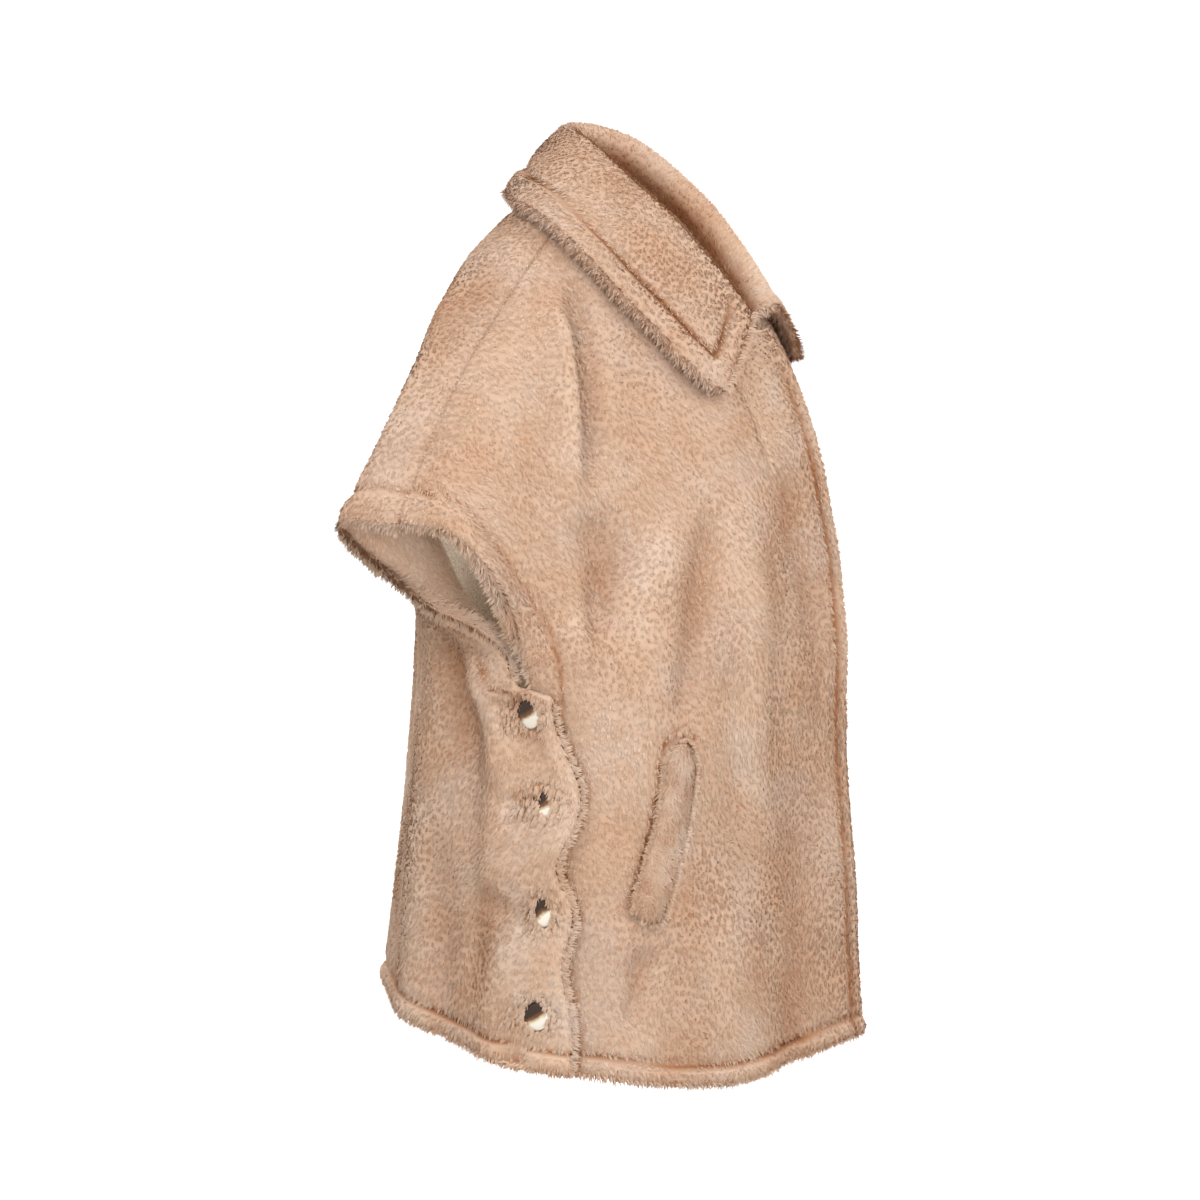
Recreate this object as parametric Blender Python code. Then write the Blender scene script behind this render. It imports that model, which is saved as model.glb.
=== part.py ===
"""Plush poncho, worn shape and hollow. Metres, +Z up, the wearer faces -Y, the wearer's right is -X.
The origin is the middle of the neck at the height of the shoulder points.

Cloth coordinates: u runs from the centre line (0) to the side edge (+1 on the wearer's right, -1 on the left),
w runs from the front hem (-1) over the shoulder seam (0) to the back hem (+1)."""
import math
import bpy
import numpy as np

for item in list(bpy.data.objects):
    bpy.data.objects.remove(item, do_unlink=True)

MM = 0.001
FUR = 8.0 * MM              # plush with its pile
LAP = 0.8 * MM              # air between two layers that lie on each other
PLACKET_LAP = 3.4 * MM
SEAM = 0.0005               # half the shoulder seam's gap, in w
COLLAR = 12.0 * MM          # two layers of plush, back to back
FACING = 3.0 * MM
LINING = 1.2 * MM
LINING_DEPTH = 16.5 * MM
CENTRE_FRONT_SLOPE = math.radians(22)
FRONT_OVERLAP = 0.03        # right front past the centre line, in u
FRONT_UNDERLAP = 0.085      # left front past the centre line, below the right one
NECK = dict(half_width=67 * MM, front_flare=12 * MM, centre_y=-47 * MM, half_length=105 * MM)

# one row for each section of the wearer's right half, millimetres
SECTION_COLUMNS = ("w", "centre_y", "centre_z",
                   "inner_x", "inner_y", "inner_z",      # u = 1/3
                   "outer_x", "outer_y", "outer_z",      # u = 2/3
                   "edge_x", "edge_y", "edge_z")         # u = 1
SECTIONS = (
    (-1.00, -240, -736, -138, -190, -745, -262, -118, -729, -302, -10, -712),
    (-0.80, -233, -605, -134, -186, -614, -256, -113, -615, -294, -8, -616),
    (-0.60, -224, -480, -130, -178, -491, -250, -102, -508, -284, -6, -524),
    (-0.42, -220, -345, -126, -173, -361, -246, -78, -405, -270, -16, -430),
    (-0.30, -202, -240, -124, -155, -266, -254, -44, -325, -292, -24, -350),
    (-0.18, -160, -125, -124, -112, -160, -262, -14, -235, -322, -4, -285),
    (-0.08, -80, -25, -127, -48, -62, -254, 16, -160, -334, 38, -257),
    (0.00, 5, 22, -130, 5, -18, -240, 44, -120, -332, 77, -250),
    (0.08, 59, -2, -130, 66, -25, -240, 92, -122, -322, 134, -252),
    (0.18, 94, -80, -134, 101, -90, -232, 113, -200, -304, 101, -298),
    (0.30, 120, -200, -138, 121, -202, -224, 110, -300, -284, 54, -342),
    (0.42, 133, -330, -138, 126, -332, -232, 82, -400, -268, 4, -402),
    (0.60, 144, -460, -142, 130, -462, -246, 72, -500, -284, -6, -524),
    (0.80, 156, -580, -148, 140, -576, -258, 74, -592, -294, -8, -616),
    (1.00, 168, -686, -154, 152, -685, -268, 78, -695, -302, -10, -712),
)

# folds run from start over middle to end; side +1 is the wearer's right; half width and height in millimetres
FOLD_COLUMNS = ("side", "start_u", "start_w", "middle_u", "middle_w", "end_u", "end_w",
                "half_width", "height", "fade_start", "fade_end")
FOLDS = (
    # right front: the sharp fold below the collar, its ridge, its lower half and the ridge's tip
    (+1, .395, -.045, .483, -.123, .580, -.222, 17, -13, .25, .35),
    (+1, .430, -.050, .521, -.129, .640, -.250, 19, 9, .30, .40),
    (+1, .570, -.215, .575, -.262, .600, -.310, 24, -8, .40, .40),
    (+1, .585, -.270, .615, -.318, .690, -.372, 17, -10, .35, .35),
    (+1, .640, -.298, .690, -.350, .728, -.392, 15, 8, .40, .30),
    # right front: towards the pocket and the centre edge
    (+1, .385, -.270, .446, -.356, .545, -.510, 19, -8, .35, .20),
    (+1, .440, -.225, .530, -.350, .600, -.480, 28, 6, .40, .40),
    (+1, .330, -.270, .342, -.404, .333, -.781, 24, 6, .25, .35),
    (+1, .165, -.250, .142, -.373, .079, -.540, 20, -7, .35, .40),
    (+1, .225, -.560, .210, -.760, .235, -1.00, 26, -5, .40, 0),
    (+1, .655, -.780, .690, -.860, .715, -.960, 15, -6, .30, .40),
    (+1, .450, -.700, .440, -.860, .430, -1.00, 30, 5, .40, 0),
    # right shoulder and back, as seen from the side
    (+1, .440, .030, .560, .045, .700, .080, 26, -5, .40, .40),
    (+1, .860, .330, .825, .430, .800, .560, 26, -11, .30, .45),
    (+1, .960, .360, .935, .470, .985, .620, 16, 7, .30, .40),
    (+1, .975, .640, .925, .780, .885, .940, 18, -7, .35, .35),
    (+1, .520, .420, .545, .650, .580, 1.00, 34, 7, .35, 0),
    (+1, .700, .620, .720, .800, .740, 1.00, 26, -5, .40, 0),
    # middle of the back
    (-1, .060, .160, .040, .420, .070, .760, 30, -8, .40, .40),
    (+1, .240, .110, .260, .400, .290, 1.00, 32, 7, .40, 0),
    (-1, .330, .150, .330, .480, .360, 1.00, 30, 8, .40, 0),
    (-1, .180, .520, .190, .760, .170, 1.00, 26, -6, .40, 0),
    # left front and left back
    (-1, .410, -.050, .500, -.140, .600, -.250, 18, -11, .30, .40),
    (-1, .470, -.050, .570, -.150, .680, -.290, 18, 8, .35, .40),
    (-1, .360, -.280, .430, -.420, .500, -.600, 22, -8, .40, .40),
    (-1, .300, -.420, .300, -.680, .320, -1.00, 28, 4, .40, 0),
    (-1, .620, -.480, .640, -.720, .650, -1.00, 26, 6, .45, 0),
    (-1, .850, .340, .800, .460, .780, .620, 24, -10, .35, .45),
    (-1, .560, .450, .580, .700, .600, 1.00, 32, 7, .40, 0),
    (-1, .930, .660, .890, .800, .870, .940, 18, -6, .40, .40),
)

# free edge of the placket past the side line, in u, and how far it stands off, in millimetres
PLACKET_COLUMNS = ("w", "right_width", "right_lift", "left_width", "left_lift")
PLACKET = (
    (0.40, .175, 2, .180, 2),
    (0.47, .155, 5, .145, 6),
    (0.56, .190, 0, .178, 0),
    (0.65, .118, 7, .128, 6),
    (0.73, .148, 0, .158, 1),
    (0.82, .118, 5, .130, 5),
    (0.91, .135, 1, .145, 1),
    (1.00, .130, 2, .135, 2),
)
PLACKET_TOP = (0.398, 0.418)        # w where the placket starts and where it has its full width
# same height on the front's side edge as on the back's, w
SIDE_MATCH = ((0.30, -.30), (0.36, -.342), (0.40, -.372), (0.44, -.412), (0.50, -.480), (0.60, -.60), (1.00, -1.00))

BUTTON_COLUMNS = ("u", "w")
BUTTONS = ((1.060, .436), (1.082, .556), (1.068, .729), (1.045, .912))

# pocket welt: its middle line on the front and its half width
WELT_COLUMNS = ("u", "w")
WELT = ((.537, -.512), (.560, -.583), (.602, -.656), (.645, -.724), (.668, -.757))
WELT_HALF_WIDTH = 17.0 * MM
WELT_THICK = 7.0 * MM

# collar of the wearer's right half: its fold in millimetres, its outer edge on the cloth, and the stand below the
# fold: its length, its lean in degrees and how far its foot runs ahead of the fold, in millimetres
COLLAR_COLUMNS = ("s", "fold_x", "fold_y", "fold_z", "edge_u", "edge_w", "stand", "lean", "lead")
COLLAR_TABLE = (
    (0.0, 0, 31, 58, 0, .088, 44, 30, 0),
    (0.2, -33, 17, 54, .155, .078, 38, 30, 0),
    (0.4, -54, -15, 38, .314, .030, 27, 28, 0),
    (0.5, -59, -36, 22, .360, -.018, 23, 26, 2),
    (0.6, -60, -57, 5, .371, -.062, 21, 24, 5),
    (0.7, -58, -78, -14, .368, -.101, 21, 22, 8),
    (0.8, -53, -100, -38, .352, -.136, 22, 18, 10),
    (0.9, -45, -123, -67, .329, -.168, 23, 12, 9),
    (1.0, -34, -145, -99, .298, -.196, 22, 4, 6),
)
COLLAR_RAISE = 10.0 * MM
COLLAR_BEND = 9.5 * MM        # radius of the fold, at the middle of the cloth
COLLAR_FALL_BULGE = 5.0 * MM
COLLAR_ACROSS = (0, .20, .40, .45, .50, .55, .60, .70, .82, .94, 1.0)


def column(table, columns, name):
    return np.array([row[columns.index(name)] for row in table], float)


def smooth(t):
    t = np.clip(t, 0, 1)
    return t * t * (3 - 2 * t)


def spline_slopes(knots, clamped):
    """Matrix from knot values (and a start slope) to the knot slopes of a smooth cubic."""
    n, h = len(knots), np.diff(knots)
    a, b = np.zeros((n, n)), np.zeros((n, n + 1))
    if clamped:
        a[0, 0] = b[0, n] = 1
    else:
        a[0, :2] = 2, 1
        b[0, :2] = -3 / h[0], 3 / h[0]
    for i in range(1, n - 1):
        a[i, i - 1:i + 2] = 1 / h[i - 1], 2 * (1 / h[i - 1] + 1 / h[i]), 1 / h[i]
        b[i, i - 1:i + 2] = -3 / h[i - 1] ** 2, 3 / h[i - 1] ** 2 - 3 / h[i] ** 2, 3 / h[i] ** 2
    a[-1, -2:] = 1, 2
    b[-1, n - 2:n] = -3 / h[-1], 3 / h[-1]
    return np.linalg.solve(a, b)


def spline(knots, values, at):
    """Smooth cubic through values at knots, read at `at`."""
    knots, values = np.asarray(knots, float), np.asarray(values, float)
    slopes = np.tensordot(spline_slopes(knots, False)[:, :len(knots)], values, axes=1)
    at = np.clip(np.asarray(at, float), knots[0], knots[-1])
    i = np.clip(np.searchsorted(knots, at, side="right") - 1, 0, len(knots) - 2)
    h = knots[i + 1] - knots[i]
    s = (at - knots[i]) / h
    shape = s.shape + (1,) * (values.ndim - 1)
    s, h = s.reshape(shape), h.reshape(shape)
    return ((1 + 2 * s) * (1 - s) ** 2 * values[i] + s * (1 - s) ** 2 * h * slopes[i]
            + s * s * (3 - 2 * s) * values[i + 1] + s * s * (s - 1) * h * slopes[i + 1])


SECTION_W = column(SECTIONS, SECTION_COLUMNS, "w")
NET = np.zeros((len(SECTIONS), 4, 3))
for k, group in enumerate(("centre", "inner", "outer", "edge")):
    for axis, letter in enumerate("xyz"):
        if group + "_" + letter in SECTION_COLUMNS:
            NET[:, k, axis] = column(SECTIONS, SECTION_COLUMNS, group + "_" + letter) * MM
ACROSS = spline_slopes(np.array([0, 1 / 3, 2 / 3, 1]), True)


def half(u, w):
    """Unfolded cloth of the wearer's right half, u in 0..1."""
    rows = spline(SECTION_W, NET, w)
    angle = CENTRE_FRONT_SLOPE * np.clip(-w / 0.3, 0, 1)
    start = 0.42 * np.stack([-np.cos(angle), np.sin(angle), 0 * angle], -1)
    slopes = np.einsum("ij,njk->nik", ACROSS, np.concatenate([rows, start[:, None]], 1))
    i = np.clip((u * 3).astype(int), 0, 2)
    n, h = np.arange(len(u)), 1 / 3
    s = ((u - i * h) / h)[:, None]
    return ((1 + 2 * s) * (1 - s) ** 2 * rows[n, i] + s * (1 - s) ** 2 * h * slopes[n, i]
            + s * s * (3 - 2 * s) * rows[n, i + 1] + s * s * (s - 1) * h * slopes[n, i + 1])


def base(u, w):
    """Unfolded cloth for any u; past the back's side edge it runs on over the front."""
    u, w = np.broadcast_arrays(np.asarray(u, float), np.asarray(w, float))
    shape = u.shape
    u, w = u.ravel(), w.ravel()
    side, over = np.where(u < 0, -1.0, 1.0), np.abs(u)
    match = np.array(SIDE_MATCH)
    wrapped = over > 1
    front_w = np.interp(w, match[:, 0], match[:, 1])
    inside = np.where(wrapped, 2 - over, over)
    # the centre front is softened, so the two slopes meet in a rounded edge
    soft = 0.035 * smooth(-np.where(wrapped, front_w, w) / 0.15)
    eased = np.sqrt(inside ** 2 + soft ** 2) - soft
    here = np.where(wrapped, front_w, w)
    p = half(np.clip(eased, 0, 1), here)
    p[:, 0] = np.where(soft > 0, half(np.clip(inside, 0, 1), here)[:, 0], p[:, 0])
    if wrapped.any():
        one = np.ones(wrapped.sum())
        jump = half(one, w[wrapped]) - half(one, front_w[wrapped])
        p[wrapped] += jump * np.exp(-((over[wrapped] - 1) / 0.06))[:, None]
    p[:, 0] *= side
    return p.reshape(shape + (3,))


def normal(u, w):
    """Outward normal of the unfolded cloth."""
    u, w = np.broadcast_arrays(np.asarray(u, float), np.asarray(w, float))
    e = 0.004
    # free side edges are read a little inside of them
    u = np.where(w < 0.38, np.clip(u, -1 + e, 1 - e), u)
    du = base(u + e, w) - base(u - e, w)
    dw = base(u, np.clip(w + e, -1, 1)) - base(u, np.clip(w - e, -1, 1))
    n = np.cross(dw, du)
    return n / (np.linalg.norm(n, axis=-1, keepdims=True) + 1e-15)


def fold_paths():
    paths = []
    for row in FOLDS:
        f = dict(zip(FOLD_COLUMNS, row))
        t = np.linspace(0, 1, 13)
        u = spline([0, .5, 1], [f["start_u"], f["middle_u"], f["end_u"]], t)
        w = spline([0, .5, 1], [f["start_w"], f["middle_w"], f["end_w"]], t)
        paths.append((base(f["side"] * u, w), f))
    return paths


PATHS = fold_paths()


def along(points, path):
    """Distance of each point from a path, and how far along the path it is, 0..1."""
    best, share = np.full(len(points), 9.0), np.zeros(len(points))
    for k in range(len(path) - 1):
        a, b = path[k], path[k + 1]
        t = np.clip((points - a) @ (b - a) / ((b - a) @ (b - a)), 0, 1)
        d = np.linalg.norm(points - a - t[:, None] * (b - a), axis=1)
        closer = d < best
        best[closer], share[closer] = d[closer], ((k + t) / (len(path) - 1))[closer]
    return best, share


def fold_height(points):
    total = np.zeros(len(points))
    for path, f in PATHS:
        reach = 3 * f["half_width"] * MM
        near = np.all((points > path.min(0) - reach) & (points < path.max(0) + reach), axis=1)
        if near.any():
            d, s = along(points[near], path)
            fade = np.ones(len(s))
            if f["fade_start"]:
                fade = fade * smooth(s / f["fade_start"])
            if f["fade_end"]:
                fade = fade * smooth((1 - s) / f["fade_end"])
            total[near] += f["height"] * MM * fade * np.exp(-(d / (f["half_width"] * MM)) ** 2)
    return total


def raised(u, w):
    """Height of the back's placket over the front that it covers."""
    over = np.abs(u)
    under = smooth((over - 0.85) / 0.09) * smooth((w - 0.355) / 0.035)
    height = (FUR + PLACKET_LAP) * under
    for side, name in ((1, "right_lift"), (-1, "left_lift")):
        lift = spline(column(PLACKET, PLACKET_COLUMNS, "w"), column(PLACKET, PLACKET_COLUMNS, name), w)
        lift = np.maximum(lift, 0) * MM
        height = height + np.where(u * side > 0, lift, 0) * smooth((over - 1.03) / 0.12) * (w > 0)
    return height


def skin(u, w, layer=0.0):
    """Outer face of the plush; layer > 0 is further out."""
    u, w = np.broadcast_arrays(np.asarray(u, float), np.asarray(w, float))
    p, n = base(u, w).reshape(-1, 3), normal(u, w).reshape(-1, 3)
    height = fold_height(p)
    uu, ww = u.ravel(), w.ravel()
    back = ww > 0
    height = height + np.where(back, raised(uu, ww), 0)
    height = height + np.broadcast_to(layer, u.shape).ravel()
    return (p + n * height[:, None]).reshape(u.shape + (3,))


def outside_neck(p):
    """Below 0 inside of the neckline as seen from above, over 0 outside of it."""
    width = NECK["half_width"] + NECK["front_flare"] * smooth((10 * MM - p[..., 1]) / (100 * MM))
    return (p[..., 0] / width) ** 2 + ((p[..., 1] - NECK["centre_y"]) / NECK["half_length"]) ** 2 - 1


def neck_level(u, sign):
    """w of the neckline at u: sign -1 in front, +1 behind; the shoulder seam past the neck."""
    u = np.abs(np.asarray(u, float))
    steps = np.linspace(0, 0.3, 151)
    result = np.zeros_like(u)
    for k in range(len(u)):
        f = outside_neck(base(np.full(len(steps), u[k]), sign * steps))
        inside = np.nonzero(f < 0)[0]
        if len(inside):
            j = inside[-1]
            result[k] = steps[j] + (steps[j + 1] - steps[j]) * f[j] / (f[j] - f[j + 1])
    return sign * np.maximum(result, SEAM)


def neck_edge_u(sign):
    """u where the neckline meets the shoulder seam."""
    u = np.linspace(0.1, 0.35, 126)
    return float(np.interp(0, outside_neck(base(u, sign * SEAM + 0 * u)), u))


def placket_edge(w, side):
    name = "right_width" if side > 0 else "left_width"
    width = spline(column(PLACKET, PLACKET_COLUMNS, "w"), column(PLACKET, PLACKET_COLUMNS, name), w)
    start, full = PLACKET_TOP
    return 1 + width * np.sqrt(np.clip((w - start) / (full - start), 0, 1)) * (w > start)


def material(name, color, rough):
    m = bpy.data.materials.new(name)
    m.use_nodes = True
    shader = m.node_tree.nodes["Principled BSDF"]
    shader.inputs["Base Color"].default_value = (*color, 1)
    shader.inputs["Roughness"].default_value = rough
    return m


PLUSH = material("plush", (0.62, 0.42, 0.30), 0.95)
LINING_CLOTH = material("lining", (0.36, 0.32, 0.28), 0.8)
HORN = material("horn", (0.30, 0.20, 0.13), 0.3)


def body(name, outer, inner, cloth):
    """Closed solid between two grids of points of the same size; both faces are split along the same diagonals."""
    n, m = outer.shape[:2]
    verts = np.concatenate([outer.reshape(-1, 3), inner.reshape(-1, 3)])
    faces = []
    for i in range(n - 1):
        for j in range(m - 1):
            a, b, c, d = i * m + j, (i + 1) * m + j, (i + 1) * m + j + 1, i * m + j + 1
            for p, q, r in ((a, b, c), (a, c, d)):
                faces += [(p, q, r), (n * m + r, n * m + q, n * m + p)]
    ring = [i * m for i in range(n)] + [(n - 1) * m + j for j in range(1, m)] \
        + [i * m + m - 1 for i in range(n - 2, -1, -1)] + [j for j in range(m - 2, 0, -1)]
    for a, b in zip(ring, ring[1:] + ring[:1]):
        faces.append((b, a, n * m + a, n * m + b))
    mesh = bpy.data.meshes.new(name)
    mesh.from_pydata(verts.tolist(), [], faces)
    return finish(name, mesh, cloth)


def finish(name, mesh, cloth):
    import bmesh
    bm = bmesh.new()
    bm.from_mesh(mesh)
    bmesh.ops.recalc_face_normals(bm, faces=bm.faces)
    if bm.calc_volume(signed=True) < 0:
        bmesh.ops.reverse_faces(bm, faces=bm.faces)
    for face in bm.faces:
        face.smooth = True
    bm.to_mesh(mesh)
    bm.free()
    mesh.materials.append(cloth)
    item = bpy.data.objects.new(name, mesh)
    bpy.context.scene.collection.objects.link(item)
    return item


def front_grid(side):
    """Columns and rows of a front, u counted towards its own side."""
    neck_u = neck_edge_u(-1)
    start = -FRONT_OVERLAP if side > 0 else -FRONT_UNDERLAP
    u = np.concatenate([start + (neck_u - start) * np.sin(np.linspace(0, math.pi / 2, 8))[:-1],
                        np.linspace(neck_u, .39, 5), np.linspace(.425, .635, 8), np.linspace(.68, .99, 8)])
    w = column_levels(u, -1, np.linspace(0, 1, 27))
    u = np.broadcast_to(u[:, None], w.shape)
    layer = -(FUR + LAP) * smooth((0.17 - u) / 0.11) if side < 0 else 0 * u
    return side * u, w, layer


def back_grid():
    neck_u = neck_edge_u(1)
    half_u = np.concatenate([neck_u * np.sin(np.linspace(0, math.pi / 2, 7)), np.linspace(neck_u, 1, 17)[1:]])
    u = np.concatenate([-half_u[:0:-1], half_u])
    rows = np.concatenate([np.linspace(0, .385, 12), [.398, .403, .410, .418, .44], np.linspace(.48, 1, 12)])
    w = column_levels(u, 1, rows)
    uu = np.zeros(w.shape)
    for i in range(len(u)):
        sign = 1 if u[i] > 0 else -1
        edge = placket_edge(w[i], sign)
        uu[i] = sign * (abs(u[i]) + (edge - 1) * smooth((abs(u[i]) - 0.80) / 0.20))
    return uu, w


def column_levels(u, sign, rows):
    """Levels of each column's points, from the neckline or the shoulder seam down to the hem."""
    level = neck_level(u, sign)
    return level[:, None] + (sign - level[:, None]) * rows[None]


def rim(shape):
    """Draws the edge of a plush sheet in on both faces, so it ends rounder."""
    draw = np.zeros(shape)
    draw[0] = draw[-1] = 1
    draw[:, 0] = draw[:, -1] = 1
    return draw * 0.2 * FUR


def panel(name, u, w, layer):
    draw = rim(u.shape)
    return body(name, skin(u, w, layer - draw), skin(u, w, layer - FUR + draw), PLUSH)


def facing(name, u, w):
    """Plush strip turned in at the arm opening, on the panel's own points."""
    top = -(FUR + LAP)
    return body(name, skin(u, w, top), skin(u, w, top - FACING), PLUSH)


def lining(name, u, w, layer):
    return body(name, skin(u, w, layer - LINING_DEPTH), skin(u, w, layer - LINING_DEPTH - LINING), LINING_CLOTH)


def collar_curves(s):
    """Fold, outer edge and the stand's sizes at stations s in -1..1 (+ is the wearer's right)."""
    side, a = np.where(s < 0, -1.0, 1.0), np.abs(s)
    keys = column(COLLAR_TABLE, COLLAR_COLUMNS, "s")

    def read(name):
        values = column(COLLAR_TABLE, COLLAR_COLUMNS, name)
        odd = name in ("fold_x", "edge_u")      # these change sign over the centre line
        both = np.concatenate([(-values if odd else values)[:0:-1], values])
        return spline(np.concatenate([-keys[:0:-1], keys]), both, a)

    fold = np.stack([read("fold_x"), read("fold_y"), read("fold_z")], -1) * MM
    edge = skin(read("edge_u"), read("edge_w"), COLLAR_RAISE)
    for p in (fold, edge):
        p[:, 0] *= side
    return fold, edge, (read("stand") * MM, np.radians(read("lean")), read("lead") * MM * side)


def collar_middle(s, across):
    """Middle surface of the collar: a straight stand up to 0.4, a round fold to 0.6, and the fall to 1."""
    fold, edge, (stand, lean, lead) = collar_curves(s)
    e = 0.01
    tangent = collar_curves(np.clip(s + e, -1, 1))[0] - collar_curves(np.clip(s - e, -1, 1))[0]
    tangent /= np.linalg.norm(tangent, axis=1, keepdims=True)
    out = edge - fold
    out[:, 2] = 0
    out -= tangent * np.sum(out * tangent, axis=1, keepdims=True)
    out /= np.linalg.norm(out, axis=1, keepdims=True)
    up = np.cross(out, tangent)
    up *= np.sign(up[:, 2:])
    r = COLLAR_BEND
    middle = fold - r * up
    a, b = (np.sum((edge - middle) * axis, axis=1) for axis in (out, up))
    start = math.pi + lean
    stop = np.arctan2(b, a) + np.arccos(np.clip(r / np.hypot(a, b), -1, 1))

    def on_fold(angle):
        return middle + r * (np.cos(angle)[:, None] * out + np.sin(angle)[:, None] * up)

    foot = on_fold(start) + stand[:, None] * (np.sin(lean)[:, None] * out - np.cos(lean)[:, None] * up) \
        + lead[:, None] * tangent
    leave = on_fold(stop)
    swell = np.cross(tangent, edge - leave)
    swell /= np.linalg.norm(swell, axis=1, keepdims=True)
    swell *= np.sign(np.sum(swell * (out + up), axis=1, keepdims=True))
    result = np.zeros((len(s), len(across), 3))
    for k, t in enumerate(across):
        if t < 0.4:
            result[:, k] = foot + (on_fold(start) - foot) * (t / 0.4)
        elif t <= 0.6:
            result[:, k] = on_fold(start + (stop - start) * (t - 0.4) / 0.2)
        else:
            f = (t - 0.6) / 0.4
            result[:, k] = leave + (edge - leave) * f + swell * COLLAR_FALL_BULGE * 4 * f * (1 - f)
    return result


def collar_faces(s, across):
    """Outer and inner face of the collar."""
    e = 0.004
    middle = collar_middle(s, across)
    ds = collar_middle(np.clip(s + e, -1, 1), across) - collar_middle(np.clip(s - e, -1, 1), across)
    dt = collar_middle(s, np.clip(across + e, 0, 1)) - collar_middle(s, np.clip(across - e, 0, 1))
    n = np.cross(dt, ds)
    n /= np.linalg.norm(n, axis=-1, keepdims=True)
    draw = np.ones(middle.shape[:2])
    draw[0] = draw[-1] = 0.5
    draw[:, 0] = draw[:, -1] = 0.5
    reach = n * (COLLAR / 2 * draw)[..., None]
    return middle + reach, middle - reach


def collar(name):
    s = np.concatenate([[-1, -.98], np.linspace(-.93, .93, 31), [.98, 1]])
    return body(name, *collar_faces(s, np.array(COLLAR_ACROSS)), PLUSH)


def welt(name, side):
    t = np.linspace(0, 1, len(WELT))
    k = np.linspace(0, 1, 11)
    cu, cw = spline(t, column(WELT, WELT_COLUMNS, "u"), k), spline(t, column(WELT, WELT_COLUMNS, "w"), k)
    width = WELT_HALF_WIDTH * (1 - np.abs(2 * k - 1) ** 5 * 0.45)
    scale_u = np.linalg.norm(base(cu + .01, cw) - base(cu - .01, cw), axis=-1) / .02
    scale_w = np.linalg.norm(base(cu, cw + .01) - base(cu, cw - .01), axis=-1) / .02
    run = np.stack([np.gradient(cu) * scale_u, np.gradient(cw) * scale_w], -1)
    run /= np.linalg.norm(run, axis=1, keepdims=True)
    v = np.linspace(-1, 1, 5)
    uu = cu[:, None] + v[None] * (width * -run[:, 1] / scale_u)[:, None]
    ww = cw[:, None] + v[None] * (width * run[:, 0] / scale_w)[:, None]
    dome = (1 - 0.55 * np.abs(v[None]) ** 3) * (1 - 0.5 * np.abs(2 * k[:, None] - 1) ** 6)
    return body(name, skin(side * uu, ww, LAP + WELT_THICK * dome), skin(side * uu, ww, LAP), PLUSH)


def button(name, u, w):
    """Turned disc with a rolled rim, lying on the placket."""
    profile = ((0, 2.2), (5.5, 2.2), (8.5, 3.3), (11.0, 3.6), (12.5, 2.2), (11.2, 0.3), (0, 0.0))
    segments = 12
    centre = skin(np.array([u]), np.array([w]))[0]
    e = 0.012
    a = skin(np.array([u + e, u - e, u, u]), np.array([w, w, w + e, w - e]))
    x = a[0] - a[1]
    x /= np.linalg.norm(x)
    z = np.cross(x, a[2] - a[3])
    z /= np.linalg.norm(z)
    out = normal(np.array([u]), np.array([w]))[0]
    if z @ out < 0:
        z = -z
    y = np.cross(z, x)
    ring = np.linspace(0, 2 * math.pi, segments, endpoint=False)
    # highest point of the cloth below the disc
    around = np.concatenate([skin(u + r * 0.045 * np.cos(ring), w + r * 0.022 * np.sin(ring)) for r in (0.5, 1)])
    clear = max(0.0, float(np.max((around - centre) @ z))) + (3.0 if w < 0.45 else 0.8) * MM
    verts, faces, rows = [], [], []
    for radius, height in profile:
        if radius == 0:
            rows.append([len(verts)])
            verts.append(centre + z * (height * MM + clear))
        else:
            rows.append(list(range(len(verts), len(verts) + segments)))
            for angle in ring:
                verts.append(centre + (x * math.cos(angle) + y * math.sin(angle)) * radius * MM + z * (height * MM + clear))
    for low, high in zip(rows, rows[1:]):
        for k in range(segments):
            j = (k + 1) % segments
            if len(low) == 1:
                faces.append((low[0], high[k], high[j]))
            elif len(high) == 1:
                faces.append((low[k], low[j], high[0]))
            else:
                faces.append((low[k], high[k], high[j], low[j]))
    mesh = bpy.data.meshes.new(name)
    mesh.from_pydata([tuple(v) for v in verts], [], faces)
    return finish(name, mesh, HORN)


ARM_ROWS = 11              # rows of a panel along the arm opening
for side, word in ((1, "right"), (-1, "left")):
    u, w, layer = front_grid(side)
    panel("front_" + word, u, w, layer)
    facing("facing_front_" + word, u[-4:, :ARM_ROWS - 1], w[-4:, :ARM_ROWS - 1])
    lining("lining_front_" + word, u[8:-4:2, 2:-1:2], w[8:-4:2, 2:-1:2], layer[8:-4:2, 2:-1:2])
u, w = back_grid()
panel("back", u, w, 0 * u)
lining("lining_back", u[4:-4:2, 1:-1:2], w[4:-4:2, 1:-1:2], 0 * u[4:-4:2, 1:-1:2])
facing("facing_back_right", u[-4:, 4:ARM_ROWS], w[-4:, 4:ARM_ROWS])
facing("facing_back_left", u[:4, 4:ARM_ROWS], w[:4, 4:ARM_ROWS])
collar("collar")
for side, word in ((1, "right"), (-1, "left")):
    welt("pocket_welt_" + word, side)
    for number, (u, w) in enumerate(BUTTONS, 1):
        button("button_%s_%d" % (word, number), side * u, w)
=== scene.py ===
"""Plush poncho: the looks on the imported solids. Metres, +Z up; the wearer faces -Y, and their right is -X.

The cloth's form is worked out as in the part's source: u runs from the centre line (0) to the side edge (+1
on the wearer's right, -1 on the left), w from the front hem (-1) over the shoulder seam (0) to the back hem
(+1). Each panel is a thin shell with its stitched edges, and its pile is a mesh of short blades."""
import math

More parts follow.
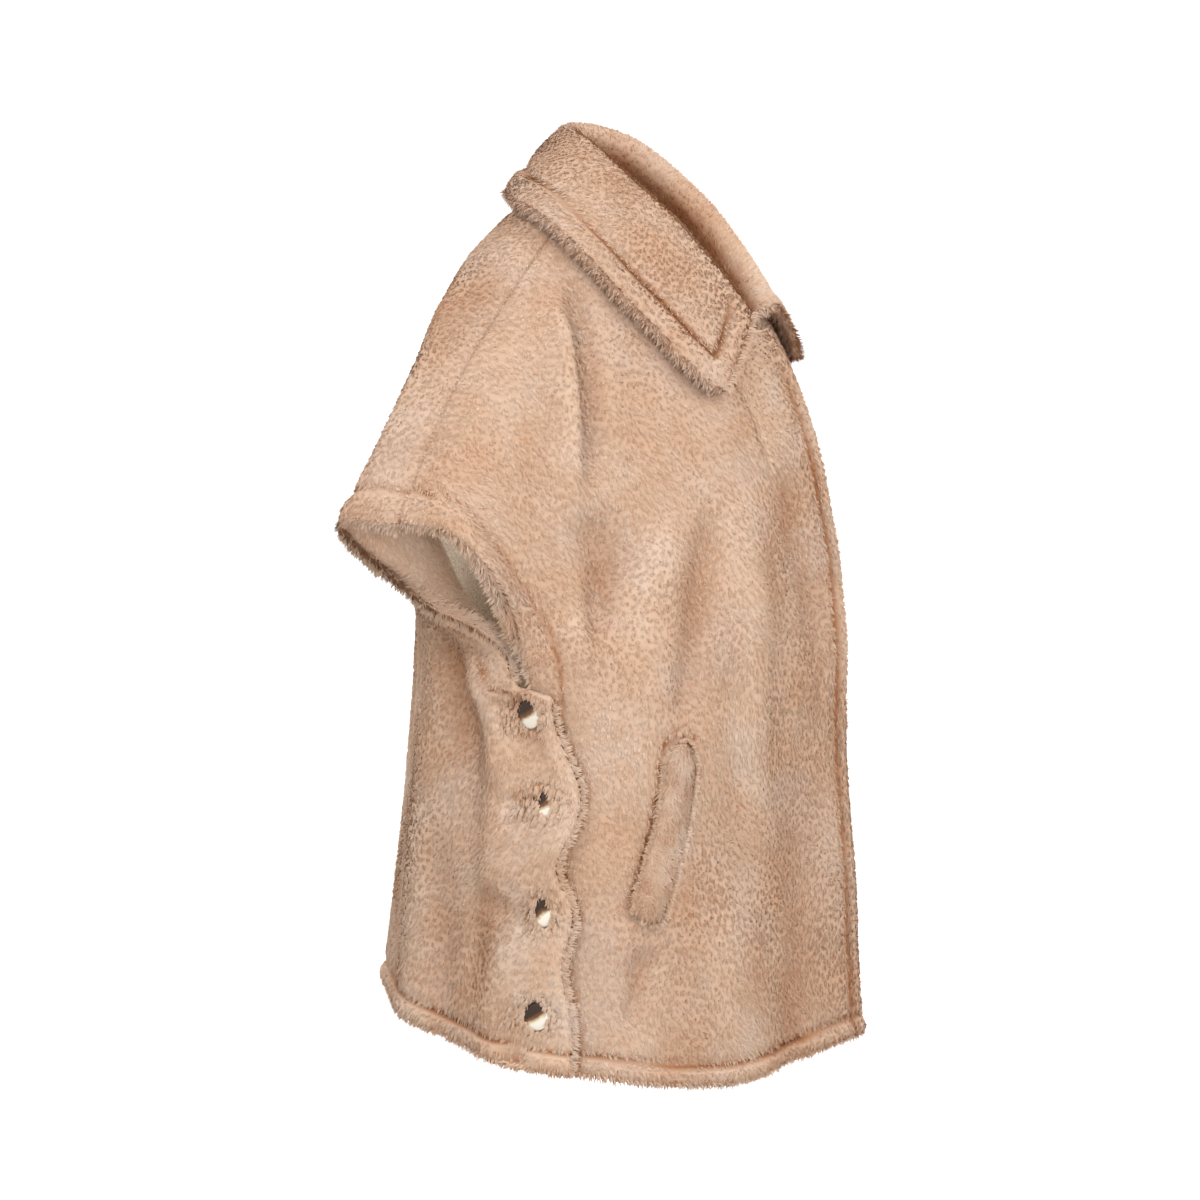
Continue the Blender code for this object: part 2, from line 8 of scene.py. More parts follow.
import bpy
import numpy as np
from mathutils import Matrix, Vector


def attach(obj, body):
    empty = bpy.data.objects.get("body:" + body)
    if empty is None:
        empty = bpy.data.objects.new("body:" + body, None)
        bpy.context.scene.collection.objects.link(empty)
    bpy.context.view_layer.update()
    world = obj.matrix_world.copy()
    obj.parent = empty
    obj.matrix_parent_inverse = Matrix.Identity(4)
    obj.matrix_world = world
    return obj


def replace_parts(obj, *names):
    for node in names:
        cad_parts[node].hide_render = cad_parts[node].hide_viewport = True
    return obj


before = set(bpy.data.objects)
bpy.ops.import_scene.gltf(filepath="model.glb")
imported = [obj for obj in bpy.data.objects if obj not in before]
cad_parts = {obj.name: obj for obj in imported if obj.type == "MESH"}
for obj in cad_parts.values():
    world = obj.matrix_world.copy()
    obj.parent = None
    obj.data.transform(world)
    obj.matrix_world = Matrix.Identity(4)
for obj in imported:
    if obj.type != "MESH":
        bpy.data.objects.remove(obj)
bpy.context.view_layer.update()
MM = 0.001
SIDES = ((1, "right"), (-1, "left"))        # the wearer's: sign of u and word in the names
rng = np.random.default_rng(7)

# ---------------- the cloth's form, as in the part's source
FUR = 8.0 * MM              # plush with its pile
LAP = 0.8 * MM              # air between two layers that lie on each other
PLACKET_LAP = 3.4 * MM
SEAM = 0.0005               # half the shoulder seam's gap, in w
COLLAR = 12.0 * MM          # two layers of plush, back to back
LINING = 1.2 * MM
LINING_DEPTH = 16.5 * MM
CENTRE_FRONT_SLOPE = math.radians(22)
FRONT_OVERLAP = 0.03        # right front past the centre line, in u
FRONT_UNDERLAP = 0.085      # left front past the centre line, below the right one
SIDE_U = 0.99               # the front's side edge
ARM_W = 0.40                # w of the arm opening's lower end
NECK = dict(half_width=67 * MM, front_flare=12 * MM, centre_y=-47 * MM, half_length=105 * MM)


def table(names, rows):
    """Columns of a table by their names."""
    return dict(zip(names.split(), np.array(rows, float).T))


# one row for each section of the wearer's right half, millimetres: the centre line, the cloth at a third
# (inner) and at two thirds of its width (outer), and its side edge
SECTIONS = table("w centre_y centre_z inner_x inner_y inner_z outer_x outer_y outer_z edge_x edge_y edge_z", (
    (-1.00, -240, -736, -138, -190, -745, -262, -118, -729, -302, -10, -712),
    (-0.80, -233, -605, -134, -186, -614, -256, -113, -615, -294, -8, -616),
    (-0.60, -224, -480, -130, -178, -491, -250, -102, -508, -284, -6, -524),
    (-0.42, -220, -345, -126, -173, -361, -246, -78, -405, -270, -16, -430),
    (-0.30, -202, -240, -124, -155, -266, -254, -44, -325, -292, -24, -350),
    (-0.18, -160, -125, -124, -112, -160, -262, -14, -235, -322, -4, -285),
    (-0.08, -80, -25, -127, -48, -62, -254, 16, -160, -334, 38, -257),
    (0.00, 5, 22, -130, 5, -18, -240, 44, -120, -332, 77, -250),
    (0.08, 59, -2, -130, 66, -25, -240, 92, -122, -322, 134, -252),
    (0.18, 94, -80, -134, 101, -90, -232, 113, -200, -304, 101, -298),
    (0.30, 120, -200, -138, 121, -202, -224, 110, -300, -284, 54, -342),
    (0.42, 133, -330, -138, 126, -332, -232, 82, -400, -268, 4, -402),
    (0.60, 144, -460, -142, 130, -462, -246, 72, -500, -284, -6, -524),
    (0.80, 156, -580, -148, 140, -576, -258, 74, -592, -294, -8, -616),
    (1.00, 168, -686, -154, 152, -685, -268, 78, -695, -302, -10, -712),
))

# folds run from start over middle to end; side +1 is the wearer's right; half width and height in millimetres
FOLD_COLUMNS = ("side", "start_u", "start_w", "middle_u", "middle_w", "end_u", "end_w",
                "half_width", "height", "fade_start", "fade_end")
FOLDS = (
    # right front: the sharp fold below the collar, its ridge, its lower half and the ridge's tip
    (+1, .395, -.045, .483, -.123, .580, -.222, 11, -17, .25, .35),
    (+1, .430, -.050, .521, -.129, .640, -.250, 15, 12, .30, .40),
    (+1, .570, -.215, .575, -.262, .600, -.310, 22, -9, .40, .40),
    (+1, .585, -.270, .615, -.318, .690, -.372, 12, -12, .35, .50),
    (+1, .640, -.298, .690, -.350, .728, -.392, 14, 8, .40, .70),
    # right front: towards the pocket and the centre edge
    (+1, .385, -.270, .446, -.356, .545, -.510, 15, -9, .35, .20),
    (+1, .440, -.225, .530, -.350, .600, -.480, 26, 7, .40, .40),
    (+1, .330, -.270, .342, -.404, .333, -.781, 22, 7, .25, .35),
    (+1, .165, -.250, .142, -.373, .079, -.540, 18, -8, .35, .40),
    (+1, .225, -.560, .210, -.760, .235, -1.00, 24, -6, .40, 0),
    (+1, .655, -.780, .690, -.860, .715, -.960, 12, -7, .30, .40),
    (+1, .450, -.700, .440, -.860, .430, -1.00, 30, 5, .40, 0),
    # right shoulder and back, as seen from the side
    (+1, .440, .030, .560, .045, .700, .080, 26, -5, .40, .40),
    (+1, .860, .330, .825, .430, .800, .560, 24, -12, .30, .45),
    (+1, .960, .360, .935, .470, .985, .620, 14, 8, .30, .40),
    (+1, .975, .640, .925, .780, .885, .940, 16, -8, .35, .35),
    (+1, .520, .420, .545, .650, .580, 1.00, 34, 7, .35, 0),
    (+1, .700, .620, .720, .800, .740, 1.00, 24, -6, .40, 0),
    # middle of the back
    (-1, .060, .160, .040, .420, .070, .760, 28, -9, .40, .40),
    (+1, .240, .110, .260, .400, .290, 1.00, 32, 7, .40, 0),
    (-1, .330, .150, .330, .480, .360, 1.00, 30, 8, .40, 0),
    (-1, .180, .520, .190, .760, .170, 1.00, 24, -7, .40, 0),
    # left front and left back
    (-1, .410, -.050, .500, -.140, .600, -.250, 13, -13, .30, .40),
    (-1, .470, -.050, .570, -.150, .680, -.290, 16, 9, .35, .40),
    (-1, .360, -.280, .430, -.420, .500, -.600, 18, -9, .40, .40),
    (-1, .300, -.420, .300, -.680, .320, -1.00, 28, 4, .40, 0),
    (-1, .620, -.480, .640, -.720, .650, -1.00, 26, 6, .45, 0),
    (-1, .850, .340, .800, .460, .780, .620, 22, -11, .35, .45),
    (-1, .560, .450, .580, .700, .600, 1.00, 32, 7, .40, 0),
    (-1, .930, .660, .890, .800, .870, .940, 16, -7, .40, .40),
    # small creases, in the looks only: below the collar, at the arm openings' lower ends and at the buttons
    (+1, .905, .380, .965, .455, .985, .560, 8, 4, .25, .35),
    (+1, .985, .385, 1.00, .410, 1.03, .430, 7, 4, .25, .35),
    (+1, .975, .560, .990, .620, 1.00, .720, 9, 3, .40, .40),
    (-1, .905, .380, .965, .455, .985, .560, 8, 4, .25, .35),
    (+1, .300, -.235, .345, -.330, .360, -.440, 16, -2.5, .40, .40),
    (+1, .240, -.330, .262, -.450, .250, -.600, 18, -2.5, .40, .40),
    (+1, .900, .500, .960, .545, 1.03, .556, 9, -3, .40, .30),
    (+1, .905, .690, .960, .715, 1.02, .725, 9, -3, .40, .30),
    (+1, .620, .160, .700, .240, .760, .330, 18, -3, .40, .40),
    (-1, .260, -.260, .300, -.370, .330, -.500, 17, -2.5, .40, .40),
    (-1, .900, .480, .950, .530, 1.03, .552, 9, -3, .40, .30),
    (-1, .890, .700, .950, .725, 1.02, .730, 9, -3, .40, .30),
    (-1, .640, .170, .700, .260, .740, .360, 18, -3, .40, .40),
    (-1, .430, .100, .410, .260, .430, .420, 22, -3, .40, .40),
)

# free edge of the placket past the side line, in u, and how far it stands off, in millimetres
PLACKET = table("w right_width right_lift left_width left_lift", (
    (0.40, .175, 2, .180, 2),
    (0.47, .155, 5, .145, 6),
    (0.56, .190, 0, .178, 0),
    (0.65, .118, 7, .128, 6),
    (0.73, .148, 0, .158, 1),
    (0.82, .118, 5, .130, 5),
    (0.91, .135, 1, .145, 1),
    (1.00, .130, 2, .135, 2),
))
PLACKET_TOP = (0.398, 0.418)        # w where the placket starts and where it has its full width
# same height on the back's side edge and on the front's, w
SIDE_MATCH = table("back front", (
    (.30, -.30), (.36, -.342), (.40, -.372), (.44, -.412), (.50, -.480), (.60, -.60), (1.0, -1.0)))

# pocket welt: its middle line on the front and its half width
WELT = table("u w", ((.537, -.512), (.560, -.583), (.602, -.656), (.645, -.724), (.668, -.757)))
WELT_HALF_WIDTH = 17.0 * MM
WELT_THICK = 7.0 * MM

# collar of the wearer's right half: its fold in millimetres, its outer edge on the cloth, and the stand below
# the fold: its length, its lean in degrees and how far its foot runs ahead of the fold, in millimetres
COLLAR_TABLE = table("s fold_x fold_y fold_z edge_u edge_w stand lean lead", (
    (0.0, 0, 31, 58, 0, .088, 44, 30, 0),
    (0.2, -33, 17, 54, .155, .078, 38, 30, 0),
    (0.4, -54, -15, 38, .314, .030, 27, 28, 0),
    (0.5, -59, -36, 22, .360, -.018, 23, 26, 2),
    (0.6, -60, -57, 5, .371, -.062, 21, 24, 5),
    (0.7, -58, -78, -14, .368, -.101, 21, 22, 8),
    (0.8, -53, -100, -38, .352, -.136, 22, 18, 10),
    (0.9, -45, -123, -67, .329, -.168, 23, 12, 9),
    (1.0, -34, -145, -99, .298, -.196, 22, 4, 6),
))
COLLAR_RAISE = 10.0 * MM
COLLAR_BEND = 9.5 * MM        # radius of the fold, at the middle of the cloth
COLLAR_FALL_BULGE = 5.0 * MM


def smooth(t):
    t = np.clip(t, 0, 1)
    return t * t * (3 - 2 * t)


def unit(v):
    return v / (np.linalg.norm(v, axis=-1, keepdims=True) + 1e-15)


def bell(distance, half_width):
    """1 at distance 0, less and less away from it."""
    return np.exp(-(distance / half_width) ** 2)


def spline_slopes(knots, clamped):
    """Matrix from knot values (and a start slope) to the knot slopes of a smooth cubic."""
    n, h = len(knots), np.diff(knots)
    a, b = np.zeros((n, n)), np.zeros((n, n + 1))
    if clamped:
        a[0, 0] = b[0, n] = 1
    else:
        a[0, :2] = 2, 1
        b[0, :2] = -3 / h[0], 3 / h[0]
    for i in range(1, n - 1):
        a[i, i - 1:i + 2] = 1 / h[i - 1], 2 * (1 / h[i - 1] + 1 / h[i]), 1 / h[i]
        b[i, i - 1:i + 2] = -3 / h[i - 1] ** 2, 3 / h[i - 1] ** 2 - 3 / h[i] ** 2, 3 / h[i] ** 2
    a[-1, -2:] = 1, 2
    b[-1, n - 2:n] = -3 / h[-1], 3 / h[-1]
    return np.linalg.solve(a, b)


def cubic(s, h, a, slope_a, b, slope_b):
    """Between a (s = 0) and b (s = 1), which lie h apart."""
    return ((1 + 2 * s) * (1 - s) ** 2 * a + s * (1 - s) ** 2 * h * slope_a
            + s * s * (3 - 2 * s) * b + s * s * (s - 1) * h * slope_b)


def spline(knots, values, at):
    """Smooth cubic through values at knots, read at `at`."""
    knots, values = np.asarray(knots, float), np.asarray(values, float)
    slopes = np.tensordot(spline_slopes(knots, False)[:, :len(knots)], values, axes=1)
    at = np.clip(np.asarray(at, float), knots[0], knots[-1])
    i = np.clip(np.searchsorted(knots, at, side="right") - 1, 0, len(knots) - 2)
    h = knots[i + 1] - knots[i]
    s = (at - knots[i]) / h
    shape = s.shape + (1,) * (values.ndim - 1)
    s, h = s.reshape(shape), h.reshape(shape)
    return cubic(s, h, values[i], slopes[i], values[i + 1], slopes[i + 1])


NET = np.zeros((len(SECTIONS["w"]), 4, 3))
for k, group in enumerate(("centre", "inner", "outer", "edge")):
    for axis, letter in enumerate("xyz"):
        NET[:, k, axis] = SECTIONS.get(group + "_" + letter, 0.0) * MM
ACROSS = spline_slopes(np.array([0, 1 / 3, 2 / 3, 1]), True)


def half(u, w):
    """Unfolded cloth of the wearer's right half, u in 0..1."""
    rows = spline(SECTIONS["w"], NET, w)
    angle = CENTRE_FRONT_SLOPE * np.clip(-w / 0.3, 0, 1)
    start = 0.42 * np.stack([-np.cos(angle), np.sin(angle), 0 * angle], -1)
    slopes = np.einsum("ij,njk->nik", ACROSS, np.concatenate([rows, start[:, None]], 1))
    i = np.clip((u * 3).astype(int), 0, 2)
    n, h = np.arange(len(u)), 1 / 3
    s = ((u - i * h) / h)[:, None]
    return cubic(s, h, rows[n, i], slopes[n, i], rows[n, i + 1], slopes[n, i + 1])


def base(u, w):
    """Unfolded cloth for any u; past the back's side edge it runs on over the front."""
    u, w = np.broadcast_arrays(np.asarray(u, float), np.asarray(w, float))
    shape = u.shape
    u, w = u.ravel(), w.ravel()
    side, over = np.where(u < 0, -1.0, 1.0), np.abs(u)
    wrapped = over > 1
    front_w = np.interp(w, SIDE_MATCH["back"], SIDE_MATCH["front"])
    inside, here = np.where(wrapped, 2 - over, over), np.where(wrapped, front_w, w)
    # the centre front is softened, so the two slopes meet in a rounded edge
    soft = 0.035 * smooth(-here / 0.15)
    eased = np.sqrt(inside ** 2 + soft ** 2) - soft
    p = half(np.clip(eased, 0, 1), here)
    p[:, 0] = np.where(soft > 0, half(np.clip(inside, 0, 1), here)[:, 0], p[:, 0])
    if wrapped.any():
        one = np.ones(wrapped.sum())
        jump = half(one, w[wrapped]) - half(one, front_w[wrapped])
        p[wrapped] += jump * np.exp(-((over[wrapped] - 1) / 0.06))[:, None]
    p[:, 0] *= side
    return p.reshape(shape + (3,))


def normal(u, w):
    """Outward normal of the unfolded cloth."""
    u, w = np.broadcast_arrays(np.asarray(u, float), np.asarray(w, float))
    e = 0.004
    # free side edges are read a little inside of them
    u = np.where(w < 0.38, np.clip(u, -1 + e, 1 - e), u)
    du = base(u + e, w) - base(u - e, w)
    dw = base(u, np.clip(w + e, -1, 1)) - base(u, np.clip(w - e, -1, 1))
    return unit(np.cross(dw, du))


def fold_paths():
    paths = []
    for row in FOLDS:
        f = dict(zip(FOLD_COLUMNS, row))
        t = np.linspace(0, 1, 13)
        u = spline([0, .5, 1], [f["start_u"], f["middle_u"], f["end_u"]], t)
        w = spline([0, .5, 1], [f["start_w"], f["middle_w"], f["end_w"]], t)
        paths.append((base(f["side"] * u, w), f))
    return paths


PATHS = fold_paths()


def along(points, path):
    """Distance of each point from a path, and how far along the path it is, 0..1."""
    best, share = np.full(len(points), 9.0), np.zeros(len(points))
    for k in range(len(path) - 1):
        a, b = path[k], path[k + 1]
        t = np.clip((points - a) @ (b - a) / ((b - a) @ (b - a)), 0, 1)
        d = np.linalg.norm(points - a - t[:, None] * (b - a), axis=1)
        closer = d < best
        best[closer], share[closer] = d[closer], ((k + t) / (len(path) - 1))[closer]
    return best, share


def fold_height(points):
    total = np.zeros(len(points))
    for path, f in PATHS:
        reach = 3 * f["half_width"] * MM
        near = np.all((points > path.min(0) - reach) & (points < path.max(0) + reach), axis=1)
        if near.any():
            d, s = along(points[near], path)
            fade = np.ones(len(s))
            if f["fade_start"]:
                fade = fade * smooth(s / f["fade_start"])
            if f["fade_end"]:
                fade = fade * smooth((1 - s) / f["fade_end"])
            total[near] += f["height"] * MM * fade * bell(d, f["half_width"] * MM)
    return total


def raised(u, w):
    """Height of the back's placket over the front that it covers."""
    over = np.abs(u)
    under = smooth((over - 0.85) / 0.09) * smooth((w - 0.355) / 0.035)
    height = (FUR + PLACKET_LAP) * under
    for side, word in SIDES:
        lift = np.maximum(spline(PLACKET["w"], PLACKET[word + "_lift"], w), 0) * MM
        height = height + np.where(u * side > 0, lift, 0) * smooth((over - 1.03) / 0.12) * (w > 0)
    return height


def skin(u, w, layer=0.0):
    """The plush's outer face, where its pile ends; layer > 0 is further out."""
    u, w = np.broadcast_arrays(np.asarray(u, float), np.asarray(w, float))
    p, n = base(u, w).reshape(-1, 3), normal(u, w).reshape(-1, 3)
    height = fold_height(p) + np.where(w.ravel() > 0, raised(u.ravel(), w.ravel()), 0)
    height = height + np.broadcast_to(layer, u.shape).ravel()
    return (p + n * height[:, None]).reshape(u.shape + (3,))


def outside_neck(p):
    """Below 0 inside of the neckline as seen from above, over 0 outside of it."""
    width = NECK["half_width"] + NECK["front_flare"] * smooth((10 * MM - p[..., 1]) / (100 * MM))
    return (p[..., 0] / width) ** 2 + ((p[..., 1] - NECK["centre_y"]) / NECK["half_length"]) ** 2 - 1


def neck_level(u, sign):
    """w of the neckline at u: sign -1 in front, +1 behind; the shoulder seam past the neck."""
    u = np.abs(np.asarray(u, float))
    steps = np.linspace(0, 0.3, 151)
    result = np.zeros_like(u)
    for k in range(len(u)):
        f = outside_neck(base(np.full(len(steps), u[k]), sign * steps))
        inside = np.nonzero(f < 0)[0]
        if len(inside):
            j = inside[-1]
            result[k] = steps[j] + (steps[j + 1] - steps[j]) * f[j] / (f[j] - f[j + 1])
    return sign * np.maximum(result, SEAM)


def neck_edge_u(sign):
    """u where the neckline meets the shoulder seam."""
    u = np.linspace(0.1, 0.35, 126)
    return float(np.interp(0, outside_neck(base(u, sign * SEAM + 0 * u)), u))


def placket_edge(w, side):
    """u of the placket's free edge; above its top, of the arm opening's rim, which leans over the front."""
    width = spline(PLACKET["w"], PLACKET["right_width" if side > 0 else "left_width"], w)
    start, full = PLACKET_TOP
    lead = 0.055 * smooth((w - 0.25) / 0.12)
    return 1 + np.maximum(width * np.sqrt(np.clip((w - start) / (full - start), 0, 1)), lead)


def collar_curves(s):
    """Fold, outer edge and the stand's sizes at stations s in -1..1 (+ is the wearer's right)."""
    side, a = np.where(s < 0, -1.0, 1.0), np.abs(s)
    keys = COLLAR_TABLE["s"]

    def read(name):
        values = COLLAR_TABLE[name]
        odd = name in ("fold_x", "edge_u")      # these change sign over the centre line
        both = np.concatenate([(-values if odd else values)[:0:-1], values])
        return spline(np.concatenate([-keys[:0:-1], keys]), both, a)

    fold = np.stack([read("fold_x"), read("fold_y"), read("fold_z")], -1) * MM
    edge = skin(read("edge_u"), read("edge_w"), COLLAR_RAISE)
    for p in (fold, edge):
        p[:, 0] *= side
    return fold, edge, (read("stand") * MM, np.radians(read("lean")), read("lead") * MM * side)


def collar_middle(s, across):
    """Middle of the collar's cloth for s and across of one shape: a straight stand up to across 0.4, a round
    fold to 0.6, and the fall to 1."""
    shape = s.shape
    s, t = s.ravel(), across.ravel()
    fold, edge, (stand, lean, lead) = collar_curves(s)
    e = 0.01
    tangent = unit(collar_curves(np.clip(s + e, -1, 1))[0] - collar_curves(np.clip(s - e, -1, 1))[0])
    out = edge - fold
    out[:, 2] = 0
    out = unit(out - tangent * np.sum(out * tangent, axis=1, keepdims=True))
    up = np.cross(out, tangent)
    up *= np.sign(up[:, 2:])
    r = COLLAR_BEND
    middle = fold - r * up
    a, b = (np.sum((edge - middle) * axis, axis=1) for axis in (out, up))
    start = math.pi + lean
    stop = np.arctan2(b, a) + np.arccos(np.clip(r / np.hypot(a, b), -1, 1))

    def on_fold(angle):
        return middle + r * (np.cos(angle)[:, None] * out + np.sin(angle)[:, None] * up)

    foot = on_fold(start) + stand[:, None] * (np.sin(lean)[:, None] * out - np.cos(lean)[:, None] * up) \
        + lead[:, None] * tangent
    leave = on_fold(stop)
    swell = unit(np.cross(tangent, edge - leave))
    swell *= np.sign(np.sum(swell * (out + up), axis=1, keepdims=True))
    low = foot + (on_fold(start) - foot) * np.clip(t / 0.4, 0, 1)[:, None]
    bend = on_fold(start + (stop - start) * np.clip((t - 0.4) / 0.2, 0, 1))
    f = np.clip((t - 0.6) / 0.4, 0, 1)[:, None]
    fall = leave + (edge - leave) * f + swell * COLLAR_FALL_BULGE * 4 * f * (1 - f)
    result = np.where((t < 0.4)[:, None], low, np.where((t <= 0.6)[:, None], bend, fall))
    return result.reshape(shape + (3,))


# ---------------- sizes of the looks
ROW_STEP = 1 / 122           # between the rows of the shells' grids, in w
PLACKET_ROWS = (.389, .393, .396, .398, .400, .402, .405, .408, .412, .416, .420, .426, .433)    # at its top
PILE = 3.6 * MM              # the shell's face lies this much below the pile's ends
BACKING = 1.6 * MM           # knitted ground of the plush at a facing
ROUND = 5.0 * MM             # free edges are rounded over this width
HEM_STITCH = 17 * MM         # stitch lines, from the edge that they follow
ARM_STITCH = 30 * MM
PLACKET_STITCH = 50 * MM
FRONT_STITCH = 23 * MM
COLLAR_STITCH = 27 * MM
COLLAR_END_STITCH = 24 * MM
LINE_HALF = 1.2 * MM         # half width of a stitch line's parting in the pile
SHADOW_HALF = 2.6 * MM       # and of the painted shade on the ground below it
BAND_PUFF = 3.0 * MM         # height of the soft roll between an edge and its stitches
STITCH_DIP = 2.2 * MM
STITCH_DIP_HALF = 5 * MM
SEAM_DIP = 0.6 * MM          # the shoulder seam and the line round a pocket welt
SEAM_DIP_HALF = 6 * MM
WELT_DIP = 1.6 * MM
CLUMP = 3.8 * MM             # the pile's curls, and how much longer they are than wide
CLUMP_LONG = 1.7
BLADE_WIDTH = 1.6 * MM
PILE_LENGTH = 4.6 * MM
LEAN, RISE = 0.82, 0.30      # how far a blade leans over and how high it rises, in lengths
GATHER = 0.75                # how far its tip is drawn to the middle of its curl
BLADES = dict(front=150000, back=142000, collar_over=55440, collar_under=28560, facing_back=15000,
              facing_front=8000, welt=8000)
GROUND_TONE = 0.55           # tones of the knitted ground and of a blade's root and tip
# a blade is painted darker at its root than at its tip: the shade deep in the pile
ROOT_TONE, TIP_TONE = 0.45, 0.64
EDGE_ROOT_TONE = 0.42        # and of the root of a blade at a free edge
EDGE_LIGHT = np.array([0, -0.4, 0.9])       # pile at an edge is shaded as if it faced up and to the front
ARM_LIGHT = np.array([1.6, -0.3, 0.3])      # and at the arm openings out to its side
FRINGE_STEP = 0.20 * MM      # one fringe blade for so much of an edge
BUTTON_TOP = 1.9 * MM        # height of a button's dome
BUTTON_DENT = 4.6 * MM       # the plush below a button is pressed in
# the part of each button that shows through its buttonhole, millimetres: half width, half height, how far its
# middle is to the front and up, and its turn in degrees
BUTTON_SLOTS = {"1": (9.5, 15.0, 0.5, 0.0, 26), "2": (5.5, 10.5, 0.5, 0.0, 12),
                "3": (6.5, 13.0, 0.5, 0.0, 10), "4": (10.0, 13.5, 0.0, 0.0, 22)}
BUTTON_PROFILE = ((0, -1.6), (9.5, -1.6), (11.6, -0.9), (12.3, 0.0), (12.0, 0.7), (11.0, 1.2), (8.0, 1.7),
                  (4.0, 1.9), (0, 1.9))         # radius and height, millimetres
BUTTON_TONE = {"1": 0.48, "2": 0.36, "3": 0.43, "4": 0.38}      # in the middle; less is browner
FACING_SWELL = 15 * MM       # the turned-in plush of the back's arm opening is a soft roll
FACING_U = dict(front=(.87, .985), back=(.72, .985))


# ---------------- materials
def srgb(red, green, blue):
    """A colour given as it looks on screen, 0..255."""
    c = np.array([red, green, blue]) / 255
    return (*np.where(c <= 0.04045, c / 12.92, ((c + 0.055) / 1.055) ** 2.4).tolist(), 1.0)


def set_inputs(node, **values):
    """Sets inputs of a node; an underscore stands for a space in an input's name."""
    for name, value in values.items():
        node.inputs[name.replace("_", " ")].default_value = value


def new_material(name, **values):
    m = bpy.data.materials.new(name)
    m.use_nodes = True
    shader = m.node_tree.nodes["Principled BSDF"]
    set_inputs(shader, **values)
    return m, m.node_tree.nodes, m.node_tree.links, shader


def ramp(nodes, stops):
    node = nodes.new("ShaderNodeValToRGB")
    while len(node.color_ramp.elements) < len(stops):
        node.color_ramp.elements.new(0.5)
    for element, (place, colour) in zip(node.color_ramp.elements, stops):
        element.position, element.color = place, colour
    return node


def noise(nodes, links, scale, detail, rough):
    where = nodes.new("ShaderNodeTexCoord")
    node = nodes.new("ShaderNodeTexNoise")
    set_inputs(node, Scale=scale, Detail=detail, Roughness=rough)
    links.new(where.outputs["Object"], node.inputs["Vector"])
    return node


def multiplied(nodes, links, *colours):
    """The product of two colours."""
    node = nodes.new("ShaderNodeMix")
    node.data_type = "RGBA"
    node.blend_type = "MULTIPLY"
    sockets = {socket.identifier: socket for socket in node.inputs}
    sockets["Factor_Float"].default_value = 1.0
    for colour, key in zip(colours, ("A_Color", "B_Color")):
        links.new(colour, sockets[key])
    return next(socket for socket in node.outputs if socket.type == "RGBA")


def tone_value(nodes):
    """The tone that is kept with each point of a mesh."""
    node = nodes.new("ShaderNodeAttribute")
    node.attribute_name = "tone"
    return node.outputs["Fac"]


def plush_material(name, deep, dark, middle, light):
    """Plush: its colour goes by the tone, which also carries painted shade and painted light, with large
    patches of paler nap.
    """
    m, nodes, links, shader = new_material(name, Roughness=0.9, Specular_IOR_Level=0.0)
    colours = ramp(nodes, ((0.0, deep), (0.28, dark), (0.6, middle), (1.0, light)))
    links.new(tone_value(nodes), colours.inputs["Fac"])
    patches = ramp(nodes, ((0.36, srgb(247, 235, 223)), (0.52, srgb(251, 246, 240)),
                           (0.66, srgb(254, 254, 254))))
    links.new(noise(nodes, links, 17.0, 3.0, 0.55).outputs["Fac"], patches.inputs["Fac"])
    brushed_and_fold_shade = multiplied(nodes, links, colours.outputs["Color"], patches.outputs["Color"])
    links.new(brushed_and_fold_shade, shader.inputs["Base Color"])
    return m


def lining_material():
    """Plain woven cloth, greyish beige, its threads as fine bumps."""
    m, nodes, links, shader = new_material("lining", Roughness=0.75, Specular_IOR_Level=0.2)
    set_inputs(shader, Sheen_Weight=0.15, Sheen_Roughness=0.5, Sheen_Tint=srgb(230, 222, 210))
    where = nodes.new("ShaderNodeTexCoord")
    weave = nodes.new("ShaderNodeMath")
    weave.operation = "MULTIPLY"
    for k, axis in enumerate("XZ"):
        wave = nodes.new("ShaderNodeTexWave")
        wave.wave_type = "BANDS"
        wave.bands_direction = axis
        set_inputs(wave, Scale=240.0, Distortion=0.6)
        links.new(where.outputs["Object"], wave.inputs["Vector"])
        links.new(wave.outputs["Fac"], weave.inputs[k])
    colours = ramp(nodes, ((0.35, srgb(188, 170, 148)), (0.65, srgb(242, 228, 208))))
    links.new(noise(nodes, links, 620.0, 2.0, 0.6).outputs["Fac"], colours.inputs["Fac"])
    links.new(colours.outputs["Color"], shader.inputs["Base Color"])
    bump = nodes.new("ShaderNodeBump")
    set_inputs(bump, Strength=0.35, Distance=0.4 * MM)
    links.new(weave.outputs[0], bump.inputs["Height"])
    links.new(bump.outputs["Normal"], shader.inputs["Normal"])
    return m


def horn_material():
    """Polished horn: its tone runs from brown to ivory, with clouds."""
    m, nodes, links, shader = new_material("horn", Roughness=0.2, Coat_Weight=0.5, Coat_Roughness=0.1)
    both = nodes.new("ShaderNodeMath")
    both.operation = "MULTIPLY_ADD"
    links.new(noise(nodes, links, 90.0, 3.0, 0.6).outputs["Fac"], both.inputs[0])
    both.inputs[1].default_value = 0.6
    links.new(tone_value(nodes), both.inputs[2])
    colours = ramp(nodes, ((0.45, srgb(52, 30, 16)), (0.72, srgb(120, 82, 50)), (0.86, srgb(206, 184, 154)),
                           (1.0, srgb(240, 234, 220))))
    links.new(both.outputs[0], colours.inputs["Fac"])
    links.new(colours.outputs["Color"], shader.inputs["Base Color"])
    return m


PILE_CLOTH = plush_material("plush_pile", srgb(114, 68, 44), srgb(184, 140, 110), srgb(219, 195, 175),
                            srgb(234, 217, 202))
# the ground's colours are darker than the pile's: painted shade deep in the pile, seen through its partings
GROUND_CLOTH = plush_material("plush_ground", srgb(88, 52, 34), srgb(164, 120, 90), srgb(211, 186, 166),
                              srgb(222, 202, 184))
LINING_CLOTH = lining_material()
HORN = horn_material()


